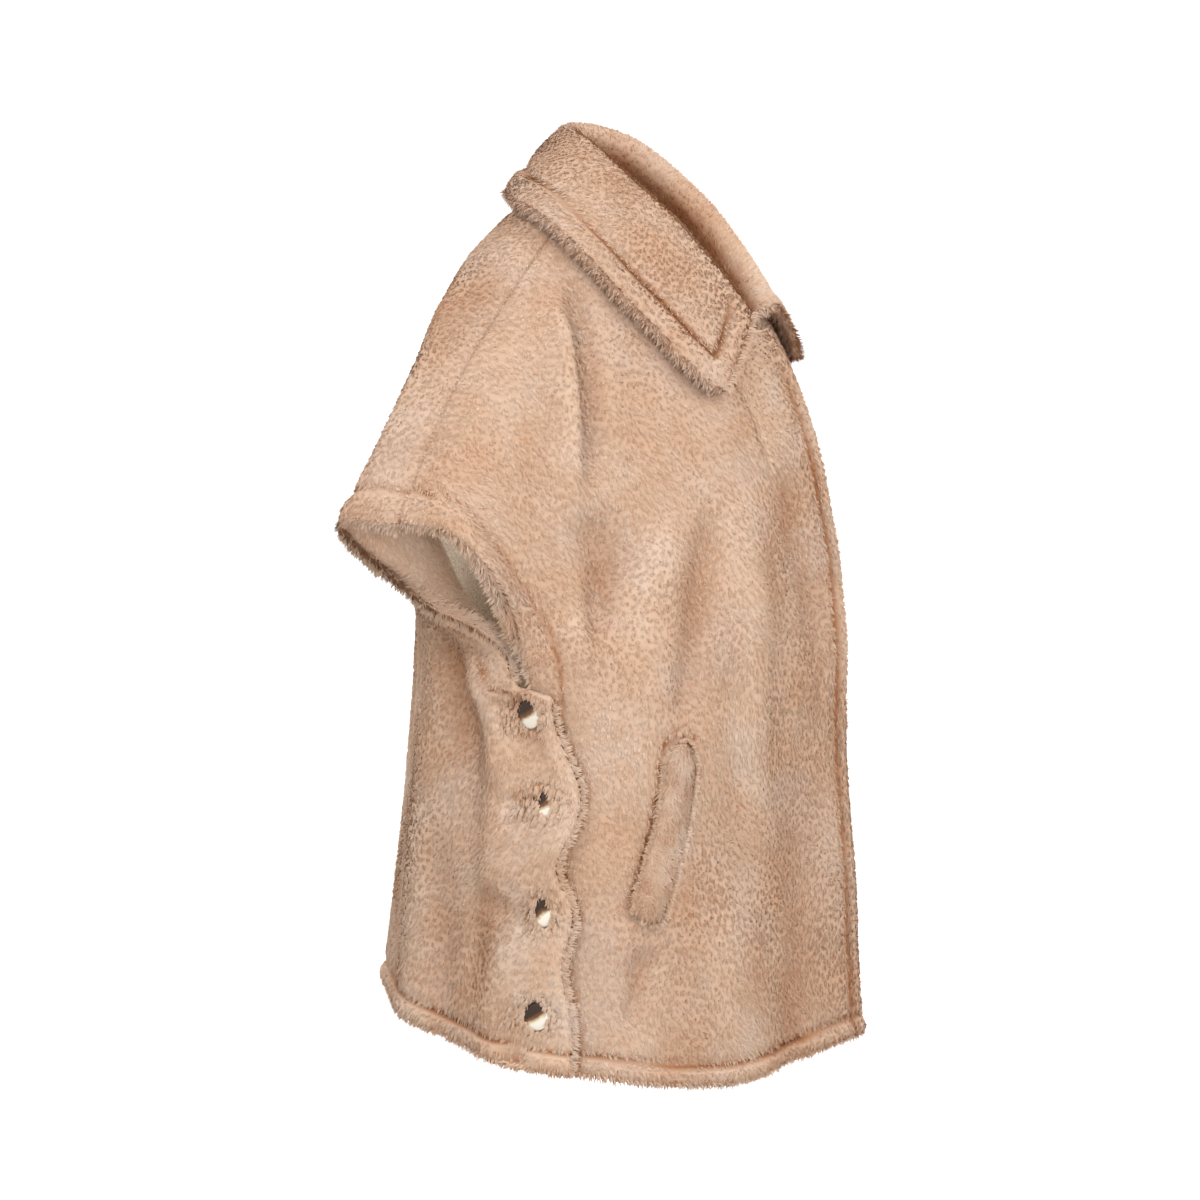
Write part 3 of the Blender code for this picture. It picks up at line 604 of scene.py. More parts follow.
# ---------------- meshes
def link(name, data):
    item = bpy.data.objects.new(name, data)
    bpy.context.scene.collection.objects.link(item)
    return item


def place(name, mesh, cloth, slot):
    mesh.materials.append(cloth)
    item = link(name, mesh)
    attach(item, "root")
    return item


def set_tone(mesh, tone):
    layer = mesh.attributes.new("tone", "FLOAT", "POINT")
    layer.data.foreach_set("value", np.ascontiguousarray(tone, np.float32).ravel())


def shell(name, node, outer, inner, tone=GROUND_TONE, cloth=GROUND_CLOTH, slot="plush"):
    """Closed thin cloth between two grids of points, in place of a solid of the part; tone may be a grid."""
    n, m = outer.shape[:2]
    i, j = np.meshgrid(np.arange(n - 1), np.arange(m - 1), indexing="ij")
    a, b, c, d = i * m + j, (i + 1) * m + j, (i + 1) * m + j + 1, i * m + j + 1
    top = np.stack([a, b, c, d], -1).reshape(-1, 4)
    ring = np.concatenate([np.arange(n) * m, (n - 1) * m + np.arange(1, m),
                           np.arange(n - 2, -1, -1) * m + m - 1, np.arange(m - 2, 0, -1)])
    after = np.roll(ring, -1)
    wall = np.stack([after, ring, n * m + ring, n * m + after], -1)
    faces = np.concatenate([top, n * m + top[:, ::-1], wall])
    verts = np.concatenate([outer.reshape(-1, 3), inner.reshape(-1, 3)])
    # outward as seen from a cell in the middle
    x, y = n // 2, m // 2
    turn = np.cross(outer[x + 1, y] - outer[x, y], outer[x, y + 1] - outer[x, y])
    if turn @ (outer[x, y] - inner[x, y]) < 0:
        faces = faces[:, ::-1]
    mesh = bpy.data.meshes.new(name)
    mesh.from_pydata(verts.tolist(), [], faces.tolist())
    mesh.shade_smooth()
    tone = np.broadcast_to(tone, outer.shape[:2]).ravel()
    set_tone(mesh, np.clip(np.concatenate([tone, tone]), 0, 1))
    item = place(name, mesh, cloth, slot)
    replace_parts(item, node)
    return item


def grid_normals(p, outward):
    """Normals of a grid of points, turned to the side of `outward`."""
    n = unit(np.cross(np.gradient(p, axis=0), np.gradient(p, axis=1)))
    return n * np.where(np.sum(n * outward, axis=-1, keepdims=True) < 0, -1, 1)


def edge_distance(p):
    """For a grid of points: how far each is from the grid's first and last column and first and last row."""
    result = []
    for axis in (0, 1):
        steps = np.linalg.norm(np.diff(p, axis=axis), axis=-1)
        zero = np.zeros_like(np.take(steps, [0], axis))
        from_first = np.cumsum(steps, axis)
        from_last = np.flip(np.cumsum(np.flip(steps, axis), axis), axis)
        result += [np.concatenate([zero, from_first], axis), np.concatenate([from_last, zero], axis)]
    return result


def finer_ends(values, first=True):
    """Adds points close to the ends of a rising row of values, for rounded edges."""
    a, b = values[1] - values[0], values[-1] - values[-2]
    extra = [values[-1] - b * 0.12, values[-1] - b * 0.45]
    if first:
        extra += [values[0] + a * 0.12, values[0] + a * 0.45]
    return np.sort(np.concatenate([values, extra]))


def drift(p, size, seed):
    """A smooth value in about -1..1 that changes over `size` metres."""
    waves = np.random.default_rng(seed)
    k = waves.normal(size=(7, 3)) / size * 1.6
    phase = waves.uniform(0, 6.28, 7)
    return np.sin(p @ k.T + phase).sum(-1) / 2.6


# ---------------- pile
def hashed(cell, k):
    """A value in 0..1 for each whole-numbered cell."""
    v = np.sin(cell @ np.array([12.9898, 78.233, 37.719]) + k * 4.17) * 43758.5453
    return v - np.floor(v)


def clumps(p, size):
    """The middle of each point's curl, a value of that curl, and how far out in it the point is."""
    cell = np.floor(p / size)
    best = np.full(len(p), 9.0)
    centre, value = np.zeros_like(p), np.zeros(len(p))
    for step in np.ndindex(3, 3, 3):
        here = cell + np.array(step) - 1
        spot = (here + np.stack([hashed(here, k) for k in (1, 2, 3)], -1)) * size
        d = np.linalg.norm(spot - p, axis=1)
        closer = d < best
        best[closer], centre[closer] = d[closer], spot[closer]
        value[closer] = hashed(here[closer], 4)
    return centre, value, best / size


class Blades:
    """Collects blades of pile and makes them one mesh."""

    def __init__(self):
        self.corners, self.normals, self.tones = [], [], []

    def add(self, root, n, lean, height, width, tone_root, tone_tip, soft, face=None, wide=None):
        """One blade for each root: it rises by `height` along n and leans by the vector `lean`. Its shading
        normal is `face` and its width lies along `wide`, or else n and across its lean. The normals vary by
        `soft`."""
        count = len(root)
        along_lean = unit(lean + 1e-6 * rng.normal(size=lean.shape))
        cross = unit(np.cross(n, along_lean)) if wide is None else wide
        face = n if face is None else face
        turn = rng.uniform(-0.35, 0.35, (count, 1))
        cross = cross * np.cos(turn) + along_lean * np.sin(turn)
        tip = root + n * height[:, None] + lean
        a, b = root - cross * width[:, None] / 2, root + cross * width[:, None] / 2
        flip = np.sum(np.cross(b - a, tip - a) * face, axis=1) < 0
        a[flip], b[flip] = b[flip], a[flip].copy()
        self.corners.append(np.stack([a, b, tip], 1))
        jitter = rng.normal(size=(count, 3)) * soft * 0.5
        at_root = unit(face + jitter - along_lean * soft * 0.3)
        at_tip = unit(face + jitter + along_lean * soft)
        self.normals.append(np.stack([at_root, at_root, at_tip], 1))
        self.tones.append(np.stack([tone_root, tone_root, tone_tip], 1))

    def mesh(self, name):
        corners = np.concatenate(self.corners).reshape(-1, 3).astype(np.float32)
        normals = np.concatenate(self.normals).reshape(-1, 3)
        tones = np.clip(np.concatenate(self.tones), 0, 1).ravel()
        count = len(corners) // 3
        mesh = bpy.data.meshes.new(name)
        mesh.vertices.add(len(corners))
        mesh.vertices.foreach_set("co", corners.ravel())
        mesh.loops.add(len(corners))
        mesh.loops.foreach_set("vertex_index", np.arange(len(corners), dtype=np.int32))
        mesh.polygons.add(count)
        mesh.polygons.foreach_set("loop_start", np.arange(0, len(corners), 3, dtype=np.int32))
        mesh.update(calc_edges=True)
        mesh.shade_smooth()
        set_tone(mesh, tones)
        mesh.normals_split_custom_set_from_vertices(normals.tolist())
        return place(name, mesh, PILE_CLOTH, "plush")


def read(field, spot):
    """A grid's values at places (i, j, s, t)."""
    i, j, s, t = spot
    if field.ndim == 3:
        s, t = s[:, None], t[:, None]
    return (field[i, j] * (1 - s) * (1 - t) + field[i + 1, j] * s * (1 - t)
            + field[i + 1, j + 1] * s * t + field[i, j + 1] * (1 - s) * t)


def corners(field):
    """Values at the four corners of a grid's cells."""
    return field[:-1, :-1], field[1:, :-1], field[1:, 1:], field[:-1, 1:]


def scatter(p, weight, count):
    """Random places on a grid, spread by area times weight."""
    a, b, c, d = corners(p)
    area = 0.5 * np.linalg.norm(np.cross(c - a, d - b), axis=-1)
    share = area * sum(corners(weight))
    total = np.cumsum(share.ravel())
    pick = np.searchsorted(total, (np.arange(count) + rng.random(count)) / count * total[-1])
    pick = np.minimum(pick, len(total) - 1)
    i, j = np.unravel_index(pick, area.shape)
    return i, j, rng.random(count), rng.random(count)


def pile(blades, p, n, count, weight=1.0, tone=0.0, lines=(), slots=(), length=PILE_LENGTH, nap=(0, 0, -1),
         ruffle=0.25):
    """Blades all over a grid of points, denser where weight is more. Lines are partings in the pile: each is
    a grid of distances, the distance that it lies at and its strength. Slots are left open."""
    weight = np.broadcast_to(weight, p.shape[:2])
    spot = scatter(p, weight, count)
    root, up, long = read(p, spot), unit(read(n, spot)), np.full(count, length)
    shade = read(np.broadcast_to(tone, weight.shape), spot)
    parting = np.zeros(count)
    for distance, at, strength in lines:
        d = read(distance, spot)
        strong = read(np.broadcast_to(strength, weight.shape), spot)
        parting = np.maximum(parting, strong * bell(d - at, LINE_HALF))
    flow = read(nap, spot) if np.ndim(nap) == 3 else np.broadcast_to(np.array(nap, float), root.shape)
    keep = rng.random(count) > 0.7 * parting
    for slot in slots:
        keep &= (slot_reach(root, slot) > 1) & (slot_reach(root + 3.0 * MM * flow, slot) > 1)
    lay(blades, *(field[keep] for field in (root, up, long, shade, parting, flow)), ruffle)


def lay(blades, root, up, long, shade, parting, flow, ruffle):
    """Blades of pile, gathered in small curls with dark partings and leaning with the flow."""
    count = len(root)
    stretch = np.array([1, 1, 1 / CLUMP_LONG])
    centre, curl, out = clumps(root * stretch, CLUMP)
    pull = centre / stretch - root
    pull -= up * np.sum(pull * up, axis=1, keepdims=True)
    down = flow - up * np.sum(flow * up, axis=1, keepdims=True)
    sideways = np.cross(up, unit(down))
    lie = unit(down) * (0.85 + 0.2 * drift(root, 0.09, 4)[:, None])
    lie = lie + sideways * drift(root, 0.050, 3)[:, None] * 0.40 + ruffle * rng.normal(size=root.shape)
    lie -= up * np.sum(lie * up, axis=1, keepdims=True)
    long = long * (0.75 + 0.5 * rng.random(count)) * (1 - 0.5 * parting)
    lean = lie * (long * LEAN)[:, None] + pull * GATHER
    # painted shade in the partings between the curls and along stitch lines
    between = smooth((out - 0.42) / 0.25) * (0.3 + 0.7 * smooth(0.5 + drift(root, 0.025, 8)))
    value = 0.12 * (curl - 0.5) + 0.06 * drift(root, 0.040, 5) + 0.035 * rng.normal(size=count)
    value = value + shade - 0.5 * parting - 0.13 * between - 0.12 * (rng.random(count) < 0.30 * between)
    width = BLADE_WIDTH * (0.8 + 0.5 * rng.random(count))
    root = root - up * (0.5 * MM + 1.5 * MM * parting + 0.8 * MM * between)[:, None]
    blades.add(root, up, lean, long * RISE + 0.8 * MM, width, ROOT_TONE + value, TIP_TONE + value, 0.16)


def fringe(blades, line, out, up, length, span, tone=0.02, fan=1.35, tilt=0.0, step=FRINGE_STEP,
           shadow=0.14, light=EDGE_LIGHT):
    """Longer blades round a free edge: out points away from the cloth, span is half the edge's thickness.
    They fan out to both sides of the direction that is tilted from out towards the cloth's normal. Those on
    the lower side are darker by `shadow`. Shading normals lean to `light`, whose x is away from the middle."""
    run = np.concatenate([[0], np.cumsum(np.linalg.norm(np.diff(line, axis=0), axis=1))])
    count = int(run[-1] / step)
    at = np.sort(rng.random(count)) * run[-1]

    def value(field):
        return np.stack([np.interp(at, run, field[:, k]) for k in range(3)], -1)

    root, o, n = value(line), unit(value(out)), unit(value(up))
    tangent = unit(np.cross(n, o))
    angle = tilt + rng.uniform(-fan, fan, count)
    way = unit(o * np.cos(angle)[:, None] + n * np.sin(angle)[:, None])
    inward = (1 - np.cos(angle)) * 2.5 * MM + 0.8 * MM
    start = root + n * (np.sin(angle) * span)[:, None] - o * inward[:, None]
    centre, curl, _ = clumps(start + way * 2 * MM, CLUMP)
    pull = np.sum((centre - start) * tangent, axis=1) * 0.8
    size = length * (0.65 + 0.5 * rng.random(count)) * (0.8 + 0.4 * curl)
    lean = tangent * (pull + 0.22 * size * rng.normal(size=count))[:, None]
    lean = lean - np.array([0, 0, 0.14]) * size[:, None]
    under = smooth(-0.2 - 1.2 * np.sin(angle))
    shade = 0.16 * (curl - 0.5) + 0.06 * rng.normal(size=count) + tone - shadow * under
    width = BLADE_WIDTH * (0.8 + 0.6 * rng.random(count))
    sideways = np.where(root[:, :1] < 0, -1.0, 1.0) * np.array([1.0, 0, 0])
    face = unit(way * 0.2 + n + light * (sideways + [0, 1, 1]))
    blades.add(start, way, lean, size, width, EDGE_ROOT_TONE + shade, TIP_TONE + shade, 0.2, face, tangent)


# ---------------- edges and seams in the shells
def stitched(d, at, puff=BAND_PUFF):
    """Relief of an edge that is turned in and stitched down `at` metres from it: a soft roll and a dip."""
    roll = np.sin(math.pi * np.clip(d / at, 0, 1)) ** 0.7
    return puff * roll - STITCH_DIP * bell(d - at, STITCH_DIP_HALF)


def shadowed(lines, shape):
    """Painted shade: the ground of the pile is darker along partings."""
    dark = np.zeros(shape)
    for distance, at, strength in lines:
        dark = np.maximum(dark, strength * bell(distance - at, SHADOW_HALF))
    return dark


def fold_shade_tone(p):
    """Painted shade in the folds' valleys, where the pile is made darker brown, and painted light on their
    ridges, where it is made paler.
    """
    height = fold_height(p.reshape(-1, 3)).reshape(p.shape[:-1]) / (10 * MM)
    return np.clip(np.where(height < 0, 0.15 * height, 0.12 * height), -0.22, 0.12)


def drawn_in(distance, reach):
    """Share of its thickness that a sheet loses at each face near a free edge, so that the edge is round."""
    t = np.clip(distance / reach, 0, 1)
    return 1 - np.sqrt(np.clip(1 - (1 - t) ** 2, 0, 1))


def shoulder_seam(from_top, u, sign):
    """1 at the sewn seam past the neck, less away from it; and how far past the neck."""
    past_neck = smooth((np.abs(u) - neck_edge_u(sign)) / 0.02)
    return bell(from_top, SEAM_DIP_HALF) * past_neck, past_neck


def rows_between(first, last, step):
    return np.linspace(first, last, max(3, int(round(abs(last - first) / step)) + 1))


def levels(u, sign, rows):
    """Levels of each column's points, from the neckline or the shoulder seam down to the hem."""
    level = neck_level(u, sign)
    return level[:, None] + (sign - level[:, None]) * rows[None]


def front_parts(side):
    """Grid of a front's skin with the distance to its edges."""
    neck_u = neck_edge_u(-1)
    start = -FRONT_OVERLAP if side > 0 else -FRONT_UNDERLAP
    inner = start + (neck_u - start) * np.sin(np.linspace(0, math.pi / 2, 14))
    u = finer_ends(np.concatenate([inner[:-1], rows_between(neck_u, SIDE_U, 0.0165)]))
    rows = finer_ends(rows_between(0, 1, ROW_STEP))
    w = levels(u, -1, rows)
    u = np.broadcast_to(u[:, None], w.shape)
    layer = -(FUR + LAP) * smooth((0.17 - u) / 0.11) if side < 0 else 0 * u
    return side * u, w, layer


def back_parts():
    neck_u = neck_edge_u(1)
    inner = neck_u * np.sin(np.linspace(0, math.pi / 2, 12))
    half_u = finer_ends(np.concatenate([inner, rows_between(neck_u, 1, 0.0165)[1:]]), first=False)
    u = np.concatenate([-half_u[:0:-1], half_u])
    above, below = rows_between(0, .385, ROW_STEP), rows_between(.44, 1, ROW_STEP)
    rows = finer_ends(np.concatenate([above, PLACKET_ROWS, below]))
    w = levels(u, 1, rows)
    uu = np.zeros(w.shape)
    for i in range(len(u)):
        sign = 1 if u[i] > 0 else -1
        edge = placket_edge(w[i], sign)
        uu[i] = sign * (abs(u[i]) + (edge - 1) * smooth((abs(u[i]) - 0.80) / 0.20))
    return uu, w


def button_places():
    """Middle and outward axis of each button, from its solid."""
    places = {}
    for name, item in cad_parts.items():
        if name.startswith("button"):
            points = np.array([tuple(v.co) for v in item.data.vertices])
            centre = points.mean(0)
            axis = np.linalg.svd(points - centre)[2][2]
            side = -1.0 if "right" in name else 1.0
            places[name] = centre, axis * np.sign(axis[0] * side)
    return places


BUTTONS = button_places()


def from_buttons(p):
    """Distance of each point from the nearest button's middle."""
    return np.min([np.linalg.norm(p - centre, axis=-1) for centre, _ in BUTTONS.values()], axis=0)


def uneven(p):
    return 0.7 * MM * drift(p, 0.034, 11) + 0.3 * MM * drift(p, 0.015, 12)


def cloth_panel(name, node, u, w, layer, relief, edges, tone, dent=0.0):
    """Shell of a panel; returns it with its face, without the dents, and its normals."""
    outward = normal(u, w)
    draw = (FUR - PILE) / 2 * drawn_in(edges, ROUND) * 0.92
    outer = skin(u, w, layer + relief - PILE - draw)
    inner = skin(u, w, layer + relief * 0.3 - dent * 0.6 - FUR + draw)
    dented = outer - outward * np.broadcast_to(dent, u.shape)[..., None]
    item = shell(name, node, dented, inner, tone)
    return item, outer, grid_normals(skin(u, w, layer + relief), outward)


def boundary(p, n, side):
    """Line, outward direction and normal along one side of a grid: 'i0', 'i1', 'j0' or 'j1'."""
    if side[0] == "j":
        p, n = p.swapaxes(0, 1), n.swapaxes(0, 1)
    if side[1] == "1":
        p, n = p[::-1], n[::-1]
    return p[0], unit(p[0] - p[4]), n[3]


def edge_fringe(blades, p, n, side, part=slice(None), length=7.2 * MM, deep=2.2 * MM, span=3.0 * MM, **more):
    """Fringe on one side of a panel's face; deep is how far below the face the edge's middle lies."""
    line, out, up = boundary(p, n, side)
    fringe(blades, (line - up * deep)[part], out[part], up[part], length, span, **more)


# fringes: along the shoulder seam and round the rims of arm openings, plackets, facings and welts
OVER_SEAM = dict(length=3.6 * MM, deep=0.8 * MM, span=0.5 * MM, tone=-0.10, fan=0.35, tilt=0.45,
                 step=0.25 * MM)
ARM_RIM = dict(deep=3.8 * MM, span=5.0 * MM, step=0.13 * MM, shadow=0, light=ARM_LIGHT)
ARM_RIM_INSIDE = dict(deep=1.2 * MM, span=2.6 * MM, fan=1.6, shadow=0, light=ARM_LIGHT)
PLACKET_RIM = dict(length=7.5 * MM, span=3.4 * MM, step=0.14 * MM)
FACING_RIM = dict(length=5.5 * MM, deep=0.8 * MM, span=1.5 * MM, tone=0.0, step=0.25 * MM)
WELT_RIM = dict(length=4.4 * MM, deep=-1.5 * MM, span=1.2 * MM, tone=0.0, fan=0.5, tilt=0.6)


# ---------------- fronts
def welt_line(k):
    """u and w of the pocket welt's middle line at shares k of its length."""
    t = np.linspace(0, 1, len(WELT["u"]))
    return spline(t, WELT["u"], k), spline(t, WELT["w"], k)


def welt_distance(p, side):
    """How far points lie outside of the pocket welt's outline."""
    u, w = welt_line(np.linspace(0.07, 0.93, 25))
    path = base(side * u, w)
    return along(p.reshape(-1, 3), path)[0].reshape(p.shape[:-1]) - WELT_HALF_WIDTH


def placket_cover(u, w, side):
    """How far, in u, a point of the front lies in front of the placket's free edge."""
    back_w = np.interp(-w, -SIDE_MATCH["front"], SIDE_MATCH["back"])
    return 2 - placket_edge(back_w, side) - np.abs(u)


def make_front(side, word):
    u, w, layer = front_parts(side)
    flat_skin = skin(u, w, layer)
    from_front, from_side, from_top, from_hem = edge_distance(flat_skin)
    open_side = smooth((w + ARM_W + 0.05) / 0.05)       # 1 along the arm opening, 0 below it
    below_collar = smooth((-w - .17) / .05)             # 1 below the collar's points
    low = smooth((-w - 0.38) / 0.03)                    # 1 below the arm opening
    seam, past_neck = shoulder_seam(from_top, u, -1)
    from_welt = welt_distance(flat_skin, side)
    relief = stitched(from_hem, HEM_STITCH) + stitched(from_side, ARM_STITCH) * open_side \
        + stitched(from_front, FRONT_STITCH) * (1.0 if side > 0 else 0.3) * below_collar \
        - SEAM_DIP * seam + uneven(flat_skin) - WELT_DIP * bell(from_welt - 2 * MM, SEAM_DIP_HALF)
    edges = np.minimum(np.minimum(from_front, from_hem), from_side)
    lines = [(from_hem, HEM_STITCH, 0.9), (from_side, ARM_STITCH, 0.55 * open_side),
             (from_front, FRONT_STITCH, 0.9 * below_collar), (from_top, 0, 0.10 * past_neck),
             (from_welt, 1.6 * MM, 0.9 * smooth((w + 0.757) / 0.06))]
    ahead = placket_cover(u, w, side)
    covered = smooth((0.004 - ahead) / 0.02) * low      # 1 where the placket hides the front
    # painted shadow: the front's pile is darker along the placket's edge, and its ground also below the
    # placket; the folds add painted shade and painted light
    brushed_and_fold_shade = fold_shade_tone(flat_skin)
    shade = brushed_and_fold_shade - 0.45 * bell(np.clip(ahead, 0, 1), 0.012) * low
    hidden = np.maximum(shadowed(lines, u.shape), smooth((0.03 - ahead) / 0.03) * low)
    dark = GROUND_TONE + brushed_and_fold_shade - 0.5 * hidden
    item, outer, n = cloth_panel("cloth_front_" + word, "front_" + word, u, w, layer, relief, edges, dark)
    if side < 0:
        # the left front runs on below the right one
        covered = np.maximum(covered, smooth((0.035 - np.abs(u)) / 0.02))
    under_collar = (outer[..., 2] > -0.10) & (np.abs(u) < 0.30)
    weight = np.where(under_collar, 0.15, 1.0) * (1 - 0.96 * covered)
    blades = Blades()
    pile(blades, outer, n, BLADES["front"], weight, shade, lines)
    rows = u.shape[1]
    opening, free_front = slice(0, int(0.43 * rows)), slice(int(0.17 * rows), None)
    # painted light: the arm opening's rim gets a lighter tone, as the lamps light it too little
    edge_fringe(blades, outer, n, "i1", opening, tone=0.06, **ARM_RIM)
    edge_fringe(blades, outer, n, "j1")
    edge_fringe(blades, outer, n, "i0", free_front, length=6.2 * MM)
    edge_fringe(blades, outer, n, "j0", np.abs(u[:, 0]) > neck_edge_u(-1), **OVER_SEAM)
    return item, blades.mesh("pile_front_" + word)


# ---------------- back
def make_back():
    u, w = back_parts()
    flat_skin = skin(u, w)
    from_left, from_right, from_top, from_hem = edge_distance(flat_skin)
    from_side = np.minimum(from_left, from_right)
    low = smooth((w - 0.40) / 0.06)                     # 1 along the placket, 0 along the arm opening
    at = ARM_STITCH + (PLACKET_STITCH - ARM_STITCH) * low
    seam, past_neck = shoulder_seam(from_top, u, 1)
    from_button = from_buttons(flat_skin)
    relief = stitched(from_hem, HEM_STITCH) + stitched(from_side, at, BAND_PUFF * (1 + 0.5 * low)) \
        - SEAM_DIP * seam + uneven(flat_skin) + 3.2 * MM * bell(from_side - 9 * MM, 6 * MM) * low
    dent = BUTTON_DENT * smooth((22 * MM - from_button) / (8 * MM))
    lines = [(from_hem, HEM_STITCH, 0.9), (from_side - at, 0, 0.7 - 0.15 * low),
             (from_side, 19 * MM, 0.28 * low), (from_top, 0, 0.10 * past_neck)]
    on_placket = smooth((75 * MM - from_side) / (12 * MM)) * low
    # painted shade and painted light of the folds, and the placket's raised band painted lighter, as the light
    # on it
    shade = fold_shade_tone(flat_skin) + 0.10 * on_placket
    dark = GROUND_TONE + shade - 0.5 * shadowed(lines, u.shape)
    edges = np.minimum(from_hem, from_side)
    item, outer, n = cloth_panel("cloth_back", "back", u, w, 0, relief, edges, dark, dent)
    seat_buttons(outer, n)
    under_collar = (w < 0.07) & (np.abs(u) < 0.26)
    weight = np.where(under_collar, 0.15, 1.0) + 1.2 * smooth((24 * MM - from_button) / (8 * MM))
    furs = []
    middle = u.shape[0] // 2
    opening, placket = slice(0, int(np.sum(w[0] < 0.393))), slice(int(np.sum(w[0] < 0.422)), None)
    for word, part in (("left", slice(0, middle + 1)), ("right", slice(middle, None))):
        blades = Blades()
        cut = [(distance[part], line_at, (strong + 0 * u)[part]) for distance, line_at, strong in lines]
        slots = [(*BUTTONS[name], BUTTON_SLOTS[name[-1]]) for name in BUTTONS if word in name]
        pile(blades, outer[part], n[part], BLADES["back"], weight[part], shade[part], cut, slots)
        side = "i0" if word == "left" else "i1"
        # painted light: the arm opening's rims get a lighter tone, as the lamps light them too little
        edge_fringe(blades, outer, n, side, opening, tone=0.12, **ARM_RIM)
        edge_fringe(blades, outer, n, side, opening, tone=0.12, **ARM_RIM_INSIDE)
        edge_fringe(blades, outer, n, side, placket, **PLACKET_RIM)
        edge_fringe(blades, outer, n, "j1", part)
        sewn = np.zeros(len(u), bool)
        sewn[part] = np.abs(u[part, 0]) > neck_edge_u(1)
        edge_fringe(blades, outer, n, "j0", sewn, **OVER_SEAM)
        furs.append(blades.mesh("pile_back_" + word))
    return item, furs


def slot_frame(axis):
    """Directions to the front and up on a button's face."""
    ahead = unit(np.cross(axis, (0, 0, 1)))
    ahead *= -np.sign(ahead[1])
    up = np.cross(axis, ahead)
    return ahead, up * np.sign(up[2])


def slot_reach(p, slot):
    """How far points are from a slot's middle, 1 on its outline."""
    centre, axis, (half_wide, half_high, ahead, above, turn) = slot
    a, b = slot_frame(axis)
    from_middle = p - centre - (a * ahead + b * above) * MM
    x, y = from_middle @ a, from_middle @ b
    c, s = math.cos(math.radians(turn)), math.sin(math.radians(turn))
    x, y = (x * c + y * s) / (half_wide * MM), (-x * s + y * c) / (half_high * MM)
    far = np.abs((p - centre) @ axis) > 40 * MM
    reach = (np.abs(x) ** 1.6 + np.abs(y) ** 1.6) ** (1 / 1.6)
    return np.where(far, 9.0, reach)


def seat_buttons(face, n):
    """Puts each button just below the roots of the pile, on the even face of the back."""
    for name, (centre, axis) in BUTTONS.items():
        d = face - centre
        aside = np.linalg.norm(d - (d @ axis)[..., None] * axis, axis=-1) + 9.0 * (np.abs(d @ axis) > 30 * MM)
        near = np.argsort(aside.ravel())[:4]
        axis = unit(n.reshape(-1, 3)[near].mean(0))
        level = np.mean((face.reshape(-1, 3)[near] - centre) @ axis)
        BUTTONS[name] = centre + axis * (level - BUTTON_TOP - 0.6 * MM), axis


# ---------------- facings and lining
def make_facings():
    """Plush turned in at the arm openings; its pile faces into the opening."""
    made = []
    for side, word in SIDES:
        for sign, part, first in ((-1, "front", 0.002), (1, "back", 0.02)):
            name = "facing_%s_%s" % (part, word)
            u = finer_ends(rows_between(*FACING_U[part], 0.010))
            w = sign * rows_between(first, 0.392 if sign > 0 else 0.40, ROW_STEP)
            uu, ww = np.meshgrid(side * u, w, indexing="ij")
            across = (np.abs(uu) - u[0]) / (u[-1] - u[0])
            if sign > 0:
                uu = uu + side * across * (placket_edge(np.minimum(ww, 0.39), side) - 1)
            swell = FACING_SWELL * (1 + smooth((ww - 0.06) / 0.20)) if sign > 0 else 3 * MM
            swell = swell * np.sin(math.pi * across) ** 0.75 * smooth((np.abs(ww) - first) / 0.08 + 0.3)
            swell = swell * smooth((0.40 - np.abs(ww)) / 0.03 + 0.2)
            top = -(FUR + LAP) - swell
            outer, inner = skin(uu, ww, top), skin(uu, ww, top - BACKING)
            item = shell("cloth_" + name, name, outer, inner)
            inward = grid_normals(inner, -normal(uu, ww))
            blades = Blades()
            # painted light: the facings' pile gets a lighter tone, as the lamps light it too little inside the
            # openings
            pile(blades, inner, inward, BLADES["facing_" + part], tone=0.08, length=5.0 * MM,
                 nap=(0, 0.3, -1))
            edge_fringe(blades, inner, inward, "i0", **FACING_RIM)
            made.append((item, blades.mesh("pile_" + name)))
    return made


def make_linings():
    half_u = rows_between(0, .80, 0.028)
    made = [lining_sheet("lining_front_" + word, side * rows_between(0.235, 0.865, 0.028), -1)
            for side, word in SIDES]
    return made + [lining_sheet("lining_back", np.concatenate([-half_u[:0:-1], half_u]), 1)]


def lining_sheet(name, u, sign):
    w = levels(u, sign, rows_between(0.03, 0.93, 0.018))
    u = np.broadcast_to(u[:, None], w.shape)
    layer = -(FUR + LAP) * smooth((0.17 - np.abs(u)) / 0.11) * (w < 0) * (u < 0)
    wrinkle = 0.8 * MM * drift(base(u, w), 0.018, 21)
    outer = skin(u, w, layer - LINING_DEPTH + wrinkle)
    inner = skin(u, w, layer - LINING_DEPTH - LINING * 0.6 + wrinkle)
    return shell("cloth_" + name, name, outer, inner, cloth=LINING_CLOTH, slot="lining")


